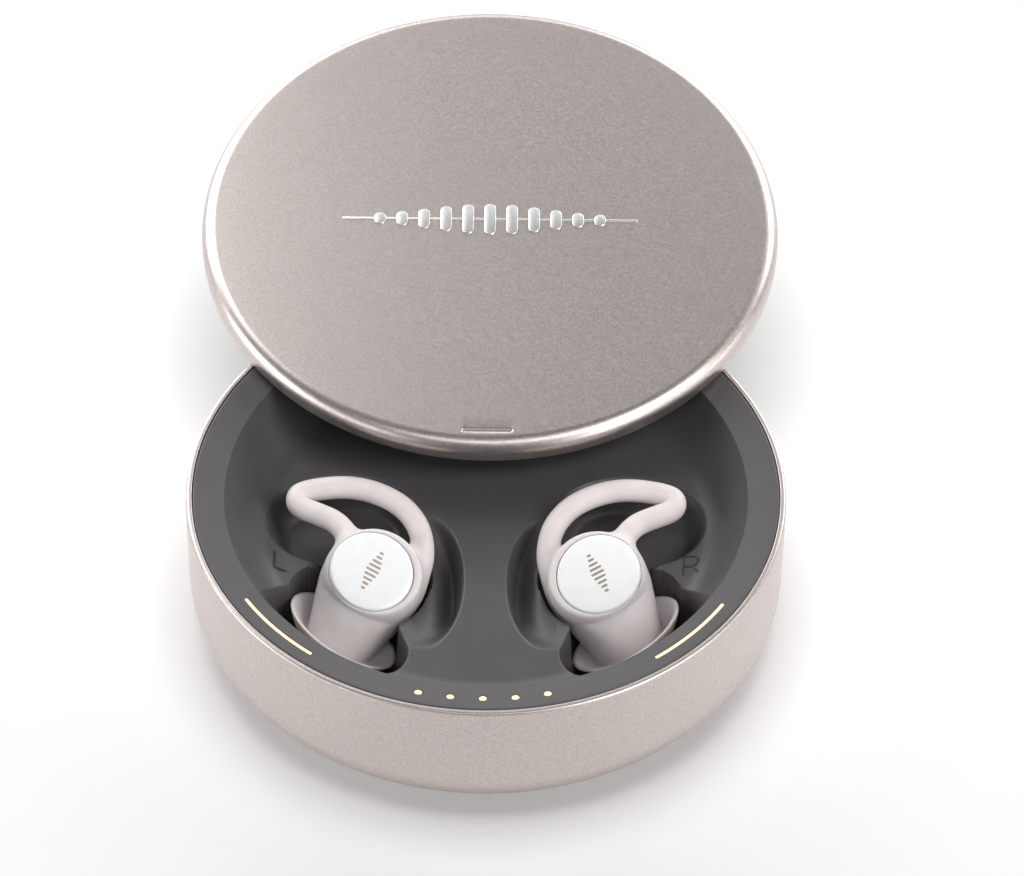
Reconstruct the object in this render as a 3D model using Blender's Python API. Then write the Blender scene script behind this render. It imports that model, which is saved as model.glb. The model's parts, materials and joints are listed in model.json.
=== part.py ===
"""Round charger for wireless earbuds: a low drum, a lid that slides back on curved rails, and two earbuds.

Sizes are in millimetres, and put() turns them into metres. The origin is the centre of the foot pad's
underside, +Z is up, the battery lights are at the front (-Y), and the lid slides open to the rear (+Y).
Heights written as "above the rim" count from the plane of the drum's top edge, RIM_Z above the ground.
The lid and what it carries are drawn closed, then turned open about the centre of its curved rails.
"""

import math

import bmesh
import bpy
from mathutils import Matrix, Vector

MM = 0.001
LEFT, RIGHT = -1, 1

# The drum.
RADIUS = 38.0
RIM_Z = 20.4
SHELL_FOOT_Z = 0.5
CORNER_R, CORNER_H = 9.5, 7.4
WALL = 1.5
BEZEL_R = 37.14
BEZEL_T = 1.45
LEDGE_DROP = 1.7
BOTTOM_HOLE_R = 27.0
FIT = 0.1

# What closes the drum below, as heights above the ground.
COVER_R, COVER_LOW, COVER_TOP = 26.8, 0.6, 1.7
FOOT_R, FOOT_T, FOOT_CORNER = 25.0, 0.5, 0.2
SCREW_PLACES = ((-18.0, 15.0), (18.0, 15.0), (0.0, -22.5))
SCREW_R, SCREW_HEAD_R, SCREW_TOP, HEAD_TOP = 0.7, 1.6, 6.0, 1.2
POST_R, POST_HOLE_R, POST_LOW, POST_HOLE_TOP, POST_TOP = 2.0, 0.9, 2.0, 7.0, 11.8

# The charging port at the rear, and the electronics. A flat box is (y, half width, half depth, corner).
PORT_Z, PORT_HALF_X, PORT_HALF_Z, PORT_CORNER = 8.1, 4.8, 1.9, 1.8
SOCKET_HALF_X, SOCKET_HALF_Z, SOCKET_CORNER, SOCKET_SKIN = 4.47, 1.63, 1.55, 0.35
SOCKET_FROM, SOCKET_TO, SOCKET_FLOOR = 29.4, 37.0, 30.4
TONGUE_HALF_X, TONGUE_HALF_Z, TONGUE_FROM, TONGUE_TO = 3.3, 0.35, 30.7, 36.2
BOARD_BOX, BOARD_LOW, BOARD_TOP = (15.5, 14.0, 15.5, 2.0), 5.4, 6.2
BATTERY_BOX, BATTERY_LOW, BATTERY_TOP = (19.3, 13.2, 9.2, 1.5), 6.7, 12.2
SENSOR_LOW, SENSOR_HIGH = (4.0, 2.5, 6.3), (6.5, 4.2, 7.0)

# The tray: a level bezel round a bowl. Heights are above the rim.
BEZEL_OUT_Z = -0.05
BOWL_R, BOWL_TOP_Z = 33.15, -0.57
FLOOR_R, FLOOR_Z = 26.5, -6.5
BOWL_POWER = 2.2
TRAY_T = 1.2

# The recesses in the bowl on the left. Circles are (x, y, radius) and ovals (x, y, half width, half depth).
CORE_PITS = ((-21.5, -14.5, 5.2), (-14.8, -19.4, 4.6), (-16.4, -11.4, 4.6))
PIT_MIDDLE = (-18.5, -15.0)
PIT_FLOOR, PIT_WALL, PIT_RISE = -16.75, 0.9, 8.0
POD_PIT = (-13.6, -7.6, 8.0)
POD_PIT_FLOOR = -13.0
WING_PIT, WING_POWER = (-17.3, 0.3, 10.2, 7.8), 2.6
WING_PIT_FLOOR, WING_RISE = -9.4, 4.0
DISH, DISH_POWER = (-13.2, -7.5, 9.4, 13.5), 3.0
DISH_FLOOR, DISH_RISE = -8.6, 2.0
RECESSES = ("dish", "wing", "pod", "pit")
CUT_TOP, CUT_STEP = 2.0, 0.5
WALL_DROP, WALL_STEP = 0.3, 0.11

# The lights in the bezel.
LIGHT_R = 35.2
DOT_R, DOT_STEP = 0.55, math.radians(6.5)
ARC_FROM, ARC_TO = math.radians(37.2), math.radians(56.9)
ARC_W = 0.6
LIGHT_DEPTH, LIGHT_PROUD = 3.0, 0.03
BOARD_IN_R, BOARD_OUT_R, BOARD_DROP, BOARD_T = 34.75, 36.15, 1.4, 0.5
CATCH_ANGLE, CATCH_HALF = math.radians(27.0), 1.9
BASE_MAGNET = (34.8, 36.1, -3.0, -1.7)
LID_MAGNET = (33.4, 35.4, 0.8, 1.9)

# The lid, and the curved path that it follows.
LID_GAP, LID_T, LID_EDGE_R, LID_TOP_T, LID_LIP_T = 0.3, 3.3, 1.9, 0.9, 1.2
PATH_R = 405.8
OPEN_ANGLE = math.radians(6.2)
LINER_T, LINER_GAP = 0.6, 0.05
LOW_EDGE_R = 0.5
FINGER_Y, FINGER_HALF_X, FINGER_HALF_Y, FINGER_DEPTH = -35.2, 3.5, 0.35, 0.3
MARK_COUNT, MARK_PITCH, MARK_WIDTH, MARK_HEIGHT, MARK_REACH = 11, 2.9, 1.5, 5.2, 19.5
MARK_LOW, MARK_HIGH = 0.03, 0.15
RAIL_X, RAIL_HALF, CHANNEL_HALF, SLOT_HALF = 6.5, 3.1, 2.3, 1.2
CHANNEL_ROOF, CHANNEL_FLOOR, RAIL_LIP = 0.3, -0.6, 0.5
RAIL_FROM, RAIL_TO, CHANNEL_FROM, CHANNEL_TO = -33.2, 32.0, -31.3, 30.2
SHOE_FROM, SHOE_TO, FIN_TO, SHOE_PLAY, SHOE_LOW = 13.2, 29.5, 24.8, 0.3, -2.0
BRACKET_BOX, BRACKET_T, FIN_HALF, FIN_DROP = (19.2, 9.0, 6.4, 1.5), 1.0, 0.9, 2.1

# The left earbud. Points are above the rim, and the right earbud is its mirror image.
CAP_AT = Vector((-14.2, -10.55, -4.2))
CAP_UP = Vector((0.185, -0.364, 0.912)).normalized()
CUP_AT = Vector((-17.75, -14.1, -11.3))
CUP_UP = Vector((0.51, 0.34, 0.79)).normalized()
CUP_LONG = Vector((0.842, -0.385, -0.377))
CAP_R = 5.35
CAP_RINGS = ((-0.95, 5.25), (-0.1, CAP_R), (0.08, 5.2), (0.2, 4.6), (0.28, 3.0))
POD_TOP, POD_BEND, NECK_BEND, NECK_END = 0.15, 6.0, 3.4, 3.2
POD_STATIONS = (
    (0, 5.75),
    (0.03, 5.97),
    (0.07, 6.2),
    (0.14, 6.45),
    (0.3, 6.2),
    (0.46, 5.6),
    (0.62, 4.8),
    (0.8, 4.0),
    (1, 3.6),
)
CUP_RX, CUP_RY, CUP_DEPTH = 7.6, 6.5, 4.0
CUP_OUTER = ((0.0, 1.0), (0.9, 0.97), (2.2, 0.84), (3.2, 0.66), (CUP_DEPTH, 0.42))
CUP_INNER = ((2.6, 0.42), (2.0, 0.66), (1.4, 0.80), (0.7, 0.90), (0.05, 0.93))
WING_R = 1.45
WING_LINE = (
    (-10.6, -11.0, -10.4),
    (-9.4, -9.5, -9.6),
    (-8.5, -7.7, -8.2),
    (-7.95, -5.7, -6.8),
    (-8.1, -3.7, -5.6),
    (-8.9, -1.5, -4.9),
    (-10.5, 0.5, -4.3),
    (-12.7, 2.0, -3.9),
    (-15.5, 3.1, -3.7),
    (-18.5, 3.4, -3.6),
    (-21.8, 3.0, -3.7),
    (-23.7, 2.2, -3.75),
    (-24.0, 0.9, -3.8),
    (-23.2, -0.1, -3.9),
    (-21.3, -1.0, -4.0),
    (-19.3, -2.1, -4.1),
    (-17.9, -3.7, -4.2),
    (-17.2, -5.3, -4.5),
    (-16.8, -7.0, -5.3),
)
CONTACTS = (Vector((-13.3, -6.1, -7.3)), Vector((-11.2, -6.9, -7.85)))
CONTACT_FACE = -9.9
CONTACT_R, CONTACT_HOLE_R = 0.7, 0.9
PIN_R, PIN_GAP, PIN_BAR_Z, PIN_BAR_T = 0.45, 0.1, -12.4, 0.4

ROUND, FOOT_ROUND = 56, 48
FINE, SMALL, TINY = 24, 12, 10


# ---------------------------------------------------------------- helpers


def finish_colour(name, colour, roughness, metallic=0.0):
    material = bpy.data.materials.new(name)
    material.use_nodes = True
    shader = material.node_tree.nodes["Principled BSDF"]
    shader.inputs["Base Color"].default_value = (*colour, 1.0)
    shader.inputs["Roughness"].default_value = roughness
    shader.inputs["Metallic"].default_value = metallic
    return material


def put(name, bm, colour=None, parent=None, smooth_angle=35):
    """Makes the object of a bmesh drawn in millimetres, with its faces pointing out."""
    bmesh.ops.remove_doubles(bm, verts=bm.verts, dist=1e-3)
    bmesh.ops.recalc_face_normals(bm, faces=bm.faces)
    if bm.calc_volume(signed=True) < 0:
        bmesh.ops.reverse_faces(bm, faces=bm.faces)
    bmesh.ops.scale(bm, vec=(MM, MM, MM), verts=bm.verts)
    mesh = bpy.data.meshes.new(name)
    bm.to_mesh(mesh)
    bm.free()
    mesh.shade_smooth()
    mesh.set_sharp_from_angle(angle=math.radians(smooth_angle))
    obj = bpy.data.objects.new(name, mesh)
    bpy.context.scene.collection.objects.link(obj)
    if colour:
        obj.data.materials.append(colour)
    if parent:
        obj.parent = parent
        obj.matrix_parent_inverse = Matrix.Translation(-parent.location)
    return obj


def boolean(target, tool, operation):
    modifier = target.modifiers.new(tool.name, "BOOLEAN")
    modifier.operation = operation
    modifier.object = tool
    modifier.solver = "EXACT"
    tool.hide_render = True
    tool.display_type = "WIRE"


def cut(target, tool):
    boolean(target, tool, "DIFFERENCE")


def add(target, tool):
    boolean(target, tool, "UNION")


def pivot(name, at):
    empty = bpy.data.objects.new(name, None)
    empty.location = at
    bpy.context.scene.collection.objects.link(empty)
    return empty


def arc(cx, cz, rx, rz, start, end, count):
    """Points on an ellipse round (cx, cz), from one angle to another, in degrees."""
    for i in range(count + 1):
        angle = math.radians(start + (end - start) * i / count)
        yield cx + rx * math.cos(angle), cz + rz * math.sin(angle)


def turned(profile, steps=ROUND, lift=0.0):
    """A solid of revolution about Z from a closed outline of (radius, height) points."""
    bm = bmesh.new()
    verts = [bm.verts.new((r, 0.0, z + lift)) for r, z in profile]
    sides = [(a, b) for a, b in zip(verts, verts[1:] + verts[:1]) if a.co.x > 0 or b.co.x > 0]
    edges = [bm.edges.new(side) for side in sides]
    bmesh.ops.spin(
        bm, geom=verts + edges, cent=(0, 0, 0), axis=(0, 0, 1), angle=math.tau, steps=steps
    )
    bmesh.ops.remove_doubles(bm, verts=bm.verts, dist=1e-3)
    return bm


def loft(rings, closed=False):
    """A solid through rings of equal count. Its ends are capped unless the last ring joins the first."""
    bm = bmesh.new()
    rows = [[bm.verts.new(point) for point in ring] for ring in rings]
    pairs = list(zip(rows, rows[1:]))
    if closed:
        pairs.append((rows[-1], rows[0]))
    else:
        bm.faces.new(rows[0])
        bm.faces.new(rows[-1])
    for low, high in pairs:
        for i in range(len(low)):
            bm.faces.new((low[i - 1], low[i], high[i], high[i - 1]))
    return bm


def ring_round(centre, up, radius, count, other=None, along=None):
    """Points of a circle, or of an ellipse with a second radius, in the plane square to up."""
    along = (along or Vector((1, 0, 0))).normalized()
    side = up.cross(along).normalized()
    along = side.cross(up).normalized()
    other = other or radius
    return [
        centre
        + along * (radius * math.cos(math.tau * i / count))
        + side * (other * math.sin(math.tau * i / count))
        for i in range(count)
    ]


def rod(start, end, radius, count=SMALL):
    up = (Vector(end) - Vector(start)).normalized()
    return loft([ring_round(Vector(p), up, radius, count) for p in (start, end)])


def outline_prism(outline, low, high, spread=0.0, middle=(0.0, 0.0)):
    """A prism on a flat outline. spread moves the top outward from the middle, in mm."""
    top = []
    for x, y in outline:
        away = Vector((x - middle[0], y - middle[1])).normalized() * spread
        top.append((x + away.x, y + away.y, high))
    return loft([[(x, y, low) for x, y in outline], top])


def box(low, high):
    (x0, y0, z0), (x1, y1, z1) = low, high
    return outline_prism([(x0, y0), (x1, y0), (x1, y1), (x0, y1)], z0, z1)


def rounded(cx, cy, half_x, half_y, corner, steps=4):
    """A rectangle's outline with round corners."""
    points = []
    for quarter, (sx, sy) in enumerate(((1, 1), (-1, 1), (-1, -1), (1, -1))):
        x, y = cx + sx * (half_x - corner), cy + sy * (half_y - corner)
        points += arc(x, y, corner, corner, 90 * quarter, 90 * quarter + 90, steps)
    return points


def oval(cx, cy, half_x, half_y, power=2.0, count=28):
    """A superellipse's outline: power 2 is an ellipse, and a higher power is squarer."""
    points = []
    for i in range(count):
        c, s = math.cos(math.tau * i / count), math.sin(math.tau * i / count)
        x = math.copysign(abs(c) ** (2 / power), c)
        y = math.copysign(abs(s) ** (2 / power), s)
        points.append((cx + half_x * x, cy + half_y * y))
    return points


def hull_outline(circles, count=16):
    """The outline of a string stretched round some circles of (x, y, radius)."""
    points = sorted(
        (x + r * math.cos(math.tau * i / count), y + r * math.sin(math.tau * i / count))
        for x, y, r in circles
        for i in range(count)
    )

    def half(run):
        kept = []
        for p in run:
            while len(kept) > 1 and turn(kept[-2], kept[-1], p) <= 0:
                kept.pop()
            kept.append(p)
        return kept[:-1]

    return half(points) + half(reversed(points))


def turn(a, b, c):
    return (b[0] - a[0]) * (c[1] - a[1]) - (b[1] - a[1]) * (c[0] - a[0])


def sector(radius_in, radius_out, start, end, steps):
    """The outline of a piece of a ring. Angles count from the front, to the right."""
    outer = [polar(radius_out, start + (end - start) * i / steps) for i in range(steps + 1)]
    inner = [polar(radius_in, start + (end - start) * i / steps) for i in range(steps + 1)]
    return outer + inner[::-1]


def polar(radius, angle):
    return radius * math.sin(angle), -radius * math.cos(angle)


def mirrored(bm, side):
    """Turns a piece drawn on the left into the right-hand one."""
    if side == RIGHT:
        bmesh.ops.scale(bm, vec=(-1, 1, 1), verts=bm.verts)
    return bm


def lifted(bm, height):
    bmesh.ops.translate(bm, vec=(0, 0, height), verts=bm.verts)
    return bm


def joined(pieces):
    """Several separate solids in one bmesh."""
    whole = bmesh.new()
    for piece in pieces:
        mesh = bpy.data.meshes.new("piece")
        piece.to_mesh(mesh)
        piece.free()
        whole.from_mesh(mesh)
        bpy.data.meshes.remove(mesh)
    return whole


# ---------------------------------------------------------------- the drum


def bezel_height(radius):
    slope = (BOWL_TOP_Z - BEZEL_OUT_Z) / (BOWL_R - BEZEL_R)
    return BEZEL_OUT_Z + slope * (radius - BEZEL_R)


def bowl_wall(offset, steps):
    """The bowl's curved wall from the floor up to the bezel, moved outward and down by an offset."""
    for i in range(steps + 1):
        part = i / steps
        radius = FLOOR_R + (BOWL_R - FLOOR_R) * part + offset * part
        height = FLOOR_Z + (BOWL_TOP_Z - FLOOR_Z) * part**BOWL_POWER - offset * (1 - part)
        yield radius, height


def make_shell(colour):
    """The aluminium drum: a wall with a rounded lower corner, a ledge for the tray and a port at the rear."""
    inner_r = RADIUS - WALL
    corner_x, corner_z = RADIUS - CORNER_R, SHELL_FOOT_Z + CORNER_H
    profile = [(RADIUS - 0.6, RIM_Z), (RADIUS - 0.15, RIM_Z), (RADIUS, RIM_Z - 0.15)]
    profile += arc(corner_x, corner_z, CORNER_R, CORNER_H, 0, -90, 7)
    profile += [(BOTTOM_HOLE_R, SHELL_FOOT_Z), (BOTTOM_HOLE_R, SHELL_FOOT_Z + WALL)]
    profile += arc(corner_x, corner_z, CORNER_R - WALL, CORNER_H - WALL, -90, 0, 5)
    ledge = RIM_Z - LEDGE_DROP
    profile += [(inner_r, ledge), (BEZEL_R + FIT, ledge), (BEZEL_R + FIT, RIM_Z)]
    shell = put("base_shell", turned(profile), colour)
    port = rounded(0, PORT_Z, PORT_HALF_X, PORT_HALF_Z, PORT_CORNER)
    ends = (SOCKET_FLOOR, RADIUS + 2.0)
    cut(shell, put("port_cutter", loft([[(x, y, z) for x, z in port] for y in ends])))


def recess(kind, side, wall):
    """One of the hollows under an earbud, or with a wall thickness the solid that surrounds it."""
    order = RECESSES.index(kind)
    top = FLOOR_Z - WALL_DROP - WALL_STEP * order if wall else CUT_TOP + CUT_STEP * order
    if kind == "pit":
        circles = [(x, y, r + wall) for x, y, r in CORE_PITS]
        outline, floor, middle, rise = hull_outline(circles), PIT_FLOOR, PIT_MIDDLE, PIT_RISE
    elif kind == "pod":
        x, y, r = POD_PIT
        outline, floor = oval(x, y, r + wall, r + wall), POD_PIT_FLOOR
        middle, rise = (x, y), PIT_RISE
    elif kind == "wing":
        x, y, a, b = WING_PIT
        outline, floor = oval(x, y, a + wall, b + wall, WING_POWER), WING_PIT_FLOOR
        middle, rise = (x, y), WING_RISE
    else:
        x, y, a, b = DISH
        outline, floor = oval(x, y, a + wall, b + wall, DISH_POWER), DISH_FLOOR
        middle, rise = (x, y), DISH_RISE
    low = floor - wall
    spread = (top - low) / rise
    return mirrored(lifted(outline_prism(outline, low, top, spread, middle), RIM_Z), side)


def make_tray(colour):
    """The tray: bezel, bowl, and for each earbud a dish, a wing pocket, a pod pocket and a deep pit."""
    underside = -BEZEL_T
    profile = [(0.0, FLOOR_Z)]
    profile += bowl_wall(0.0, 8)
    profile += [(BOWL_R + 0.3, BOWL_TOP_Z + 0.05), (BEZEL_R - 0.2, bezel_height(BEZEL_R - 0.2))]
    profile += [(BEZEL_R, BEZEL_OUT_Z - 0.15), (BEZEL_R, underside), (BOWL_R + TRAY_T, underside)]
    outer = [(r, z) for r, z in bowl_wall(TRAY_T, 6) if z < underside - 0.2]
    profile += outer[::-1]
    profile += [(0.0, FLOOR_Z - TRAY_T)]
    tray = put("tray", turned(profile, lift=RIM_Z), colour)
    for side, word in ((LEFT, "left"), (RIGHT, "right")):
        for kind in RECESSES:
            wall = PIT_WALL if kind == "pit" else TRAY_T
            add(tray, put(f"{word}_{kind}_wall", recess(kind, side, wall)))
    for side, word in ((LEFT, "left"), (RIGHT, "right")):
        for kind in RECESSES:
            cut(tray, put(f"{word}_{kind}_cutter", recess(kind, side, 0.0)))
    top, low = RIM_Z + 1.0, RIM_Z - BEZEL_T - 0.5
    holes = [dot_prism(i, DOT_R + FIT, low, top) for i in range(-2, 3)]
    holes += [arc_prism(side, FIT, low, top) for side in (LEFT, RIGHT)]
    cut(tray, put("light_cutters", joined(holes)))
    return tray


def dot_prism(step, radius, low, high):
    x, y = polar(LIGHT_R, step * DOT_STEP)
    return rod((x, y, low), (x, y, high), radius)


def arc_prism(side, grow, low, high):
    """The bar of an arc light: a piece of a ring with round ends."""
    half = ARC_W / 2 + grow
    end = grow / LIGHT_R
    outline = sector(LIGHT_R - half, LIGHT_R + half, ARC_FROM - end, ARC_TO + end, 10)
    bm = outline_prism(outline, low, high)
    if side == LEFT:
        bmesh.ops.scale(bm, vec=(-1, 1, 1), verts=bm.verts)
    return bm


def make_lights(pipe, board):
    """Light pipes through the bezel, above a curved board that carries one emitter for each dot or arc."""
    low = RIM_Z - LIGHT_DEPTH
    top = RIM_Z + bezel_height(LIGHT_R) + LIGHT_PROUD
    for i in range(-2, 3):
        put(f"battery_light_{i + 3}", dot_prism(i, DOT_R, low, top), pipe)
    put("left_charge_light", arc_prism(LEFT, 0.0, low, top), pipe)
    put("right_charge_light", arc_prism(RIGHT, 0.0, low, top), pipe)
    reach = ARC_TO + 0.06
    outline = sector(BOARD_IN_R, BOARD_OUT_R, -reach, reach, 24)
    board_top = low - BOARD_DROP + BOARD_T
    light_board = put("light_board", outline_prism(outline, low - BOARD_DROP, board_top), board)
    middle = (ARC_FROM + ARC_TO) / 2
    angles = [i * DOT_STEP for i in range(-2, 3)] + [-middle, middle]
    half = 0.5 / LIGHT_R
    emitters = []
    for angle in angles:
        outline = sector(LIGHT_R - 0.3, LIGHT_R + 0.4, angle - half, angle + half, 1)
        emitters.append(outline_prism(outline, board_top - 0.1, low - 0.25))
    add(light_board, put("emitters", joined(emitters)))


def make_bottom(cover_colour, foot_colour, steel, brass):
    """The bottom cover, its rubber foot pad, and three screws up into brass posts under the tray."""
    bevel = (COVER_TOP - COVER_LOW) / 4
    edge = [(COVER_R, COVER_TOP), (COVER_R, COVER_LOW + bevel), (COVER_R - bevel, COVER_LOW)]
    cover = put("bottom_cover", turned([(0, COVER_TOP)] + edge + [(0, COVER_LOW)]), cover_colour)
    edge = [(FOOT_R, FOOT_T), (FOOT_R, FOOT_CORNER), (FOOT_R - FOOT_CORNER, 0.0)]
    put("foot_pad", turned([(0, FOOT_T)] + edge + [(0, 0.0)], FOOT_ROUND), foot_colour)
    holes = [rod((x, y, 0.0), (x, y, COVER_TOP + 1.0), SCREW_R + 0.3) for x, y in SCREW_PLACES]
    sinks = [rod((x, y, 0.5), (x, y, HEAD_TOP + 0.05), SCREW_HEAD_R + 0.2) for x, y in SCREW_PLACES]
    cut(cover, put("screw_cutters", joined(holes)))
    cut(cover, put("screw_sinks", joined(sinks)))
    for number, (x, y) in enumerate(SCREW_PLACES, 1):
        put(f"case_screw_{number}", screw_at(x, y), steel)
        put(f"screw_post_{number}", post_at(x, y), brass)


def screw_at(x, y):
    low = COVER_LOW + 0.02
    shaft = [(0, SCREW_TOP), (SCREW_R, SCREW_TOP), (SCREW_R, HEAD_TOP)]
    head = [(SCREW_HEAD_R, HEAD_TOP), (SCREW_HEAD_R, low), (0, low)]
    bm = turned(shaft + head, SMALL)
    bmesh.ops.translate(bm, vec=(x, y, 0), verts=bm.verts)
    return bm


def post_at(x, y):
    outside = [(0, POST_TOP), (POST_R, POST_TOP), (POST_R, POST_LOW)]
    bore = [(POST_HOLE_R, POST_LOW), (POST_HOLE_R, POST_HOLE_TOP), (0, POST_HOLE_TOP)]
    bm = turned(outside + bore, SMALL)
    bmesh.ops.translate(bm, vec=(x, y, 0), verts=bm.verts)
    return bm


def make_electronics(board, chip, foil, steel, plastic):
    """The main board with its chips, the battery pack above it, and the port's shell and tongue."""
    put("main_board", outline_prism(rounded(0, *BOARD_BOX), BOARD_LOW, BOARD_TOP), board)
    put("lid_sensor", box(SENSOR_LOW, SENSOR_HIGH), chip)
    put("battery", outline_prism(rounded(0, *BATTERY_BOX), BATTERY_LOW, BATTERY_TOP), foil)
    rings = []
    for grow, ends in ((0.0, (SOCKET_FROM, SOCKET_TO)), (-SOCKET_SKIN, (SOCKET_TO, SOCKET_FLOOR))):
        half_x, half_z, corner = SOCKET_HALF_X + grow, SOCKET_HALF_Z + grow, SOCKET_CORNER + grow
        outline = rounded(0, PORT_Z, half_x, half_z, corner)
        rings += [[(x, y, z) for x, z in outline] for y in ends]
    put("usb_socket", loft(rings), steel)
    tongue = rounded(0, PORT_Z, TONGUE_HALF_X, TONGUE_HALF_Z, 0.3, 2)
    rings = [[(x, y, z) for x, z in tongue] for y in (TONGUE_FROM, TONGUE_TO)]
    put("usb_tongue", loft(rings), plastic)


def make_catches(magnet, lid):
    """Small magnets under the bezel and in the lid, which hold the lid shut."""
    half = CATCH_HALF / LIGHT_R
    for owner, sizes, parent in (("base", BASE_MAGNET, None), ("lid", LID_MAGNET, lid)):
        inner, outer, low, high = sizes
        for angle, word in ((-CATCH_ANGLE, "left"), (CATCH_ANGLE, "right")):
            outline = sector(inner, outer, angle - half, angle + half, 2)
            block = lifted(outline_prism(outline, low, high), RIM_Z)
            put(f"{owner}_magnet_{word}", block, magnet, parent)


# ---------------------------------------------------------------- the lid


def path_height(y):
    """How far the lid's curved path has risen at a distance along the slide."""
    return PATH_R - math.sqrt(PATH_R**2 - y**2)


def make_lid(lid, alloy, plastic, acetal, polish):
    """The lid's shell, its liner, the two channelled rails and the mark on top."""
    low, top = LID_GAP, LID_GAP + LID_T
    inner = RADIUS - LID_LIP_T
    profile = [(0, top)]
    profile += arc(RADIUS - LID_EDGE_R, top - LID_EDGE_R, LID_EDGE_R, LID_EDGE_R, 90, 0, 5)
    profile += arc(RADIUS - LOW_EDGE_R, low + LOW_EDGE_R, LOW_EDGE_R, LOW_EDGE_R, 0, -90, 3)
    profile += [(inner, low), (inner, top - LID_TOP_T), (0, top - LID_TOP_T)]
    shell = put("lid_shell", turned(profile, lift=RIM_Z), alloy, lid)
    slot = rounded(0.0, FINGER_Y, FINGER_HALF_X, FINGER_HALF_Y, FINGER_HALF_Y - 0.01)
    groove = lifted(outline_prism(slot, top - FINGER_DEPTH, top + 1), RIM_Z)
    cut(shell, put("finger_mark_cutter", groove, None, lid))
    liner_top = top - LID_TOP_T - LINER_GAP
    liner_low, liner_r = liner_top - LINER_T, inner - 0.3
    liner = [(0, liner_top), (liner_r, liner_top), (liner_r, liner_low), (0, liner_low)]
    put("lid_liner", turned(liner, FOOT_ROUND, RIM_Z), plastic, lid)
    for x, word in ((-RAIL_X, "left"), (RAIL_X, "right")):
        blank = rail_blank(x, RAIL_FROM, RAIL_TO, liner_low - LINER_GAP)
        rail = put(f"{word}_lid_rail", blank, acetal, lid)
        channel = rail_channel(x, CHANNEL_FROM, CHANNEL_TO)
        cut(rail, put(f"{word}_channel_cutter", channel, None, lid))
    make_mark(top, polish, lid)


def along_path(x, y_from, y_to, steps, section):
    """A solid swept along the curved path. section gives (across, height) points above the path."""
    rings = []
    for i in range(steps + 1):
        y = y_from + (y_to - y_from) * i / steps
        rings.append([(x + across, y, RIM_Z + h(y)) for across, h in section])
    return loft(rings)


def level(height):
    return lambda y: height


def curved(height):
    return lambda y: height + path_height(y)


def rail_blank(x, y_from, y_to, top):
    low = CHANNEL_FLOOR - RAIL_LIP
    section = [(-RAIL_HALF, level(top)), (RAIL_HALF, level(top))]
    section += [(RAIL_HALF, curved(low)), (-RAIL_HALF, curved(low))]
    return along_path(x, y_from, y_to, 14, section)


def rail_channel(x, y_from, y_to):
    low = CHANNEL_FLOOR - RAIL_LIP - 1.0
    section = [(-CHANNEL_HALF, curved(CHANNEL_ROOF)), (CHANNEL_HALF, curved(CHANNEL_ROOF))]
    section += [(CHANNEL_HALF, curved(CHANNEL_FLOOR)), (SLOT_HALF, curved(CHANNEL_FLOOR))]
    section += [(SLOT_HALF, curved(low)), (-SLOT_HALF, curved(low))]
    section += [(-SLOT_HALF, curved(CHANNEL_FLOOR)), (-CHANNEL_HALF, curved(CHANNEL_FLOOR))]
    return along_path(x, y_from, y_to, 14, section)


def make_mark(top, polish, lid):
    """A plain row of upright round-ended bars on a thin spine, tall in the middle, as on a level meter."""
    low, high = top + MARK_LOW, top + MARK_HIGH
    spine = box((-MARK_REACH, -0.2, RIM_Z + low), (MARK_REACH, 0.2, RIM_Z + high - 0.03))
    mark = put("lid_mark", spine, polish, lid)
    bars = []
    half = MARK_WIDTH / 2
    for i in range(MARK_COUNT):
        place = i - (MARK_COUNT - 1) / 2
        height = MARK_HEIGHT * (0.34 + 0.66 * math.cos(place / MARK_COUNT * math.pi) ** 2)
        outline = rounded(place * MARK_PITCH, 0.0, half, height / 2, half - 0.01, 2)
        bars.append(lifted(outline_prism(outline, low, high), RIM_Z))
    add(mark, put("mark_bars", joined(bars), None, lid))


def make_guides(acetal, steel):
    """The guide bracket on the tray's rear floor, and the two shoes that run in the lid's rails."""
    low = RIM_Z + FLOOR_Z + 0.1
    plate = outline_prism(rounded(0, *BRACKET_BOX), low, low + BRACKET_T)
    bracket = put("guide_bracket", plate, steel)
    head, neck = CHANNEL_HALF - SHOE_PLAY, SLOT_HALF - SHOE_PLAY
    roof, floor = curved(CHANNEL_ROOF - FIT), curved(CHANNEL_FLOOR + FIT)
    section = [(-head, roof), (head, roof), (head, floor), (neck, floor)]
    section += [(neck, level(SHOE_LOW)), (-neck, level(SHOE_LOW)), (-neck, floor), (-head, floor)]
    for x, word in ((-RAIL_X, "left"), (RAIL_X, "right")):
        fin_low, fin_high = low + BRACKET_T / 2, RIM_Z - FIN_DROP
        fin = box((x - FIN_HALF, SHOE_FROM, fin_low), (x + FIN_HALF, FIN_TO, fin_high))
        add(bracket, put(f"{word}_guide_fin", fin))
        put(f"{word}_guide_shoe", along_path(x, SHOE_FROM, SHOE_TO, 6, section), acetal)


# ---------------------------------------------------------------- the earbuds


def bezier(points, t):
    a, b, c, d = points
    s = 1 - t
    return a * s**3 + b * (3 * s * s * t) + c * (3 * s * t * t) + d * t**3


def pod_loft():
    """The sleeve's pod and neck: rings along a bent centre line, from the cap down into the ear cup."""
    start, end = CAP_AT - CAP_UP * POD_TOP, CUP_AT - CUP_UP * NECK_END
    line = (start, start - CAP_UP * POD_BEND, end + CUP_UP * NECK_BEND, end)
    rings = []
    for t, radius in POD_STATIONS:
        up = CAP_UP.lerp(CUP_UP, t).normalized()
        rings.append(ring_round(bezier(line, t), up, radius, 20))
    return loft(rings)


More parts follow.
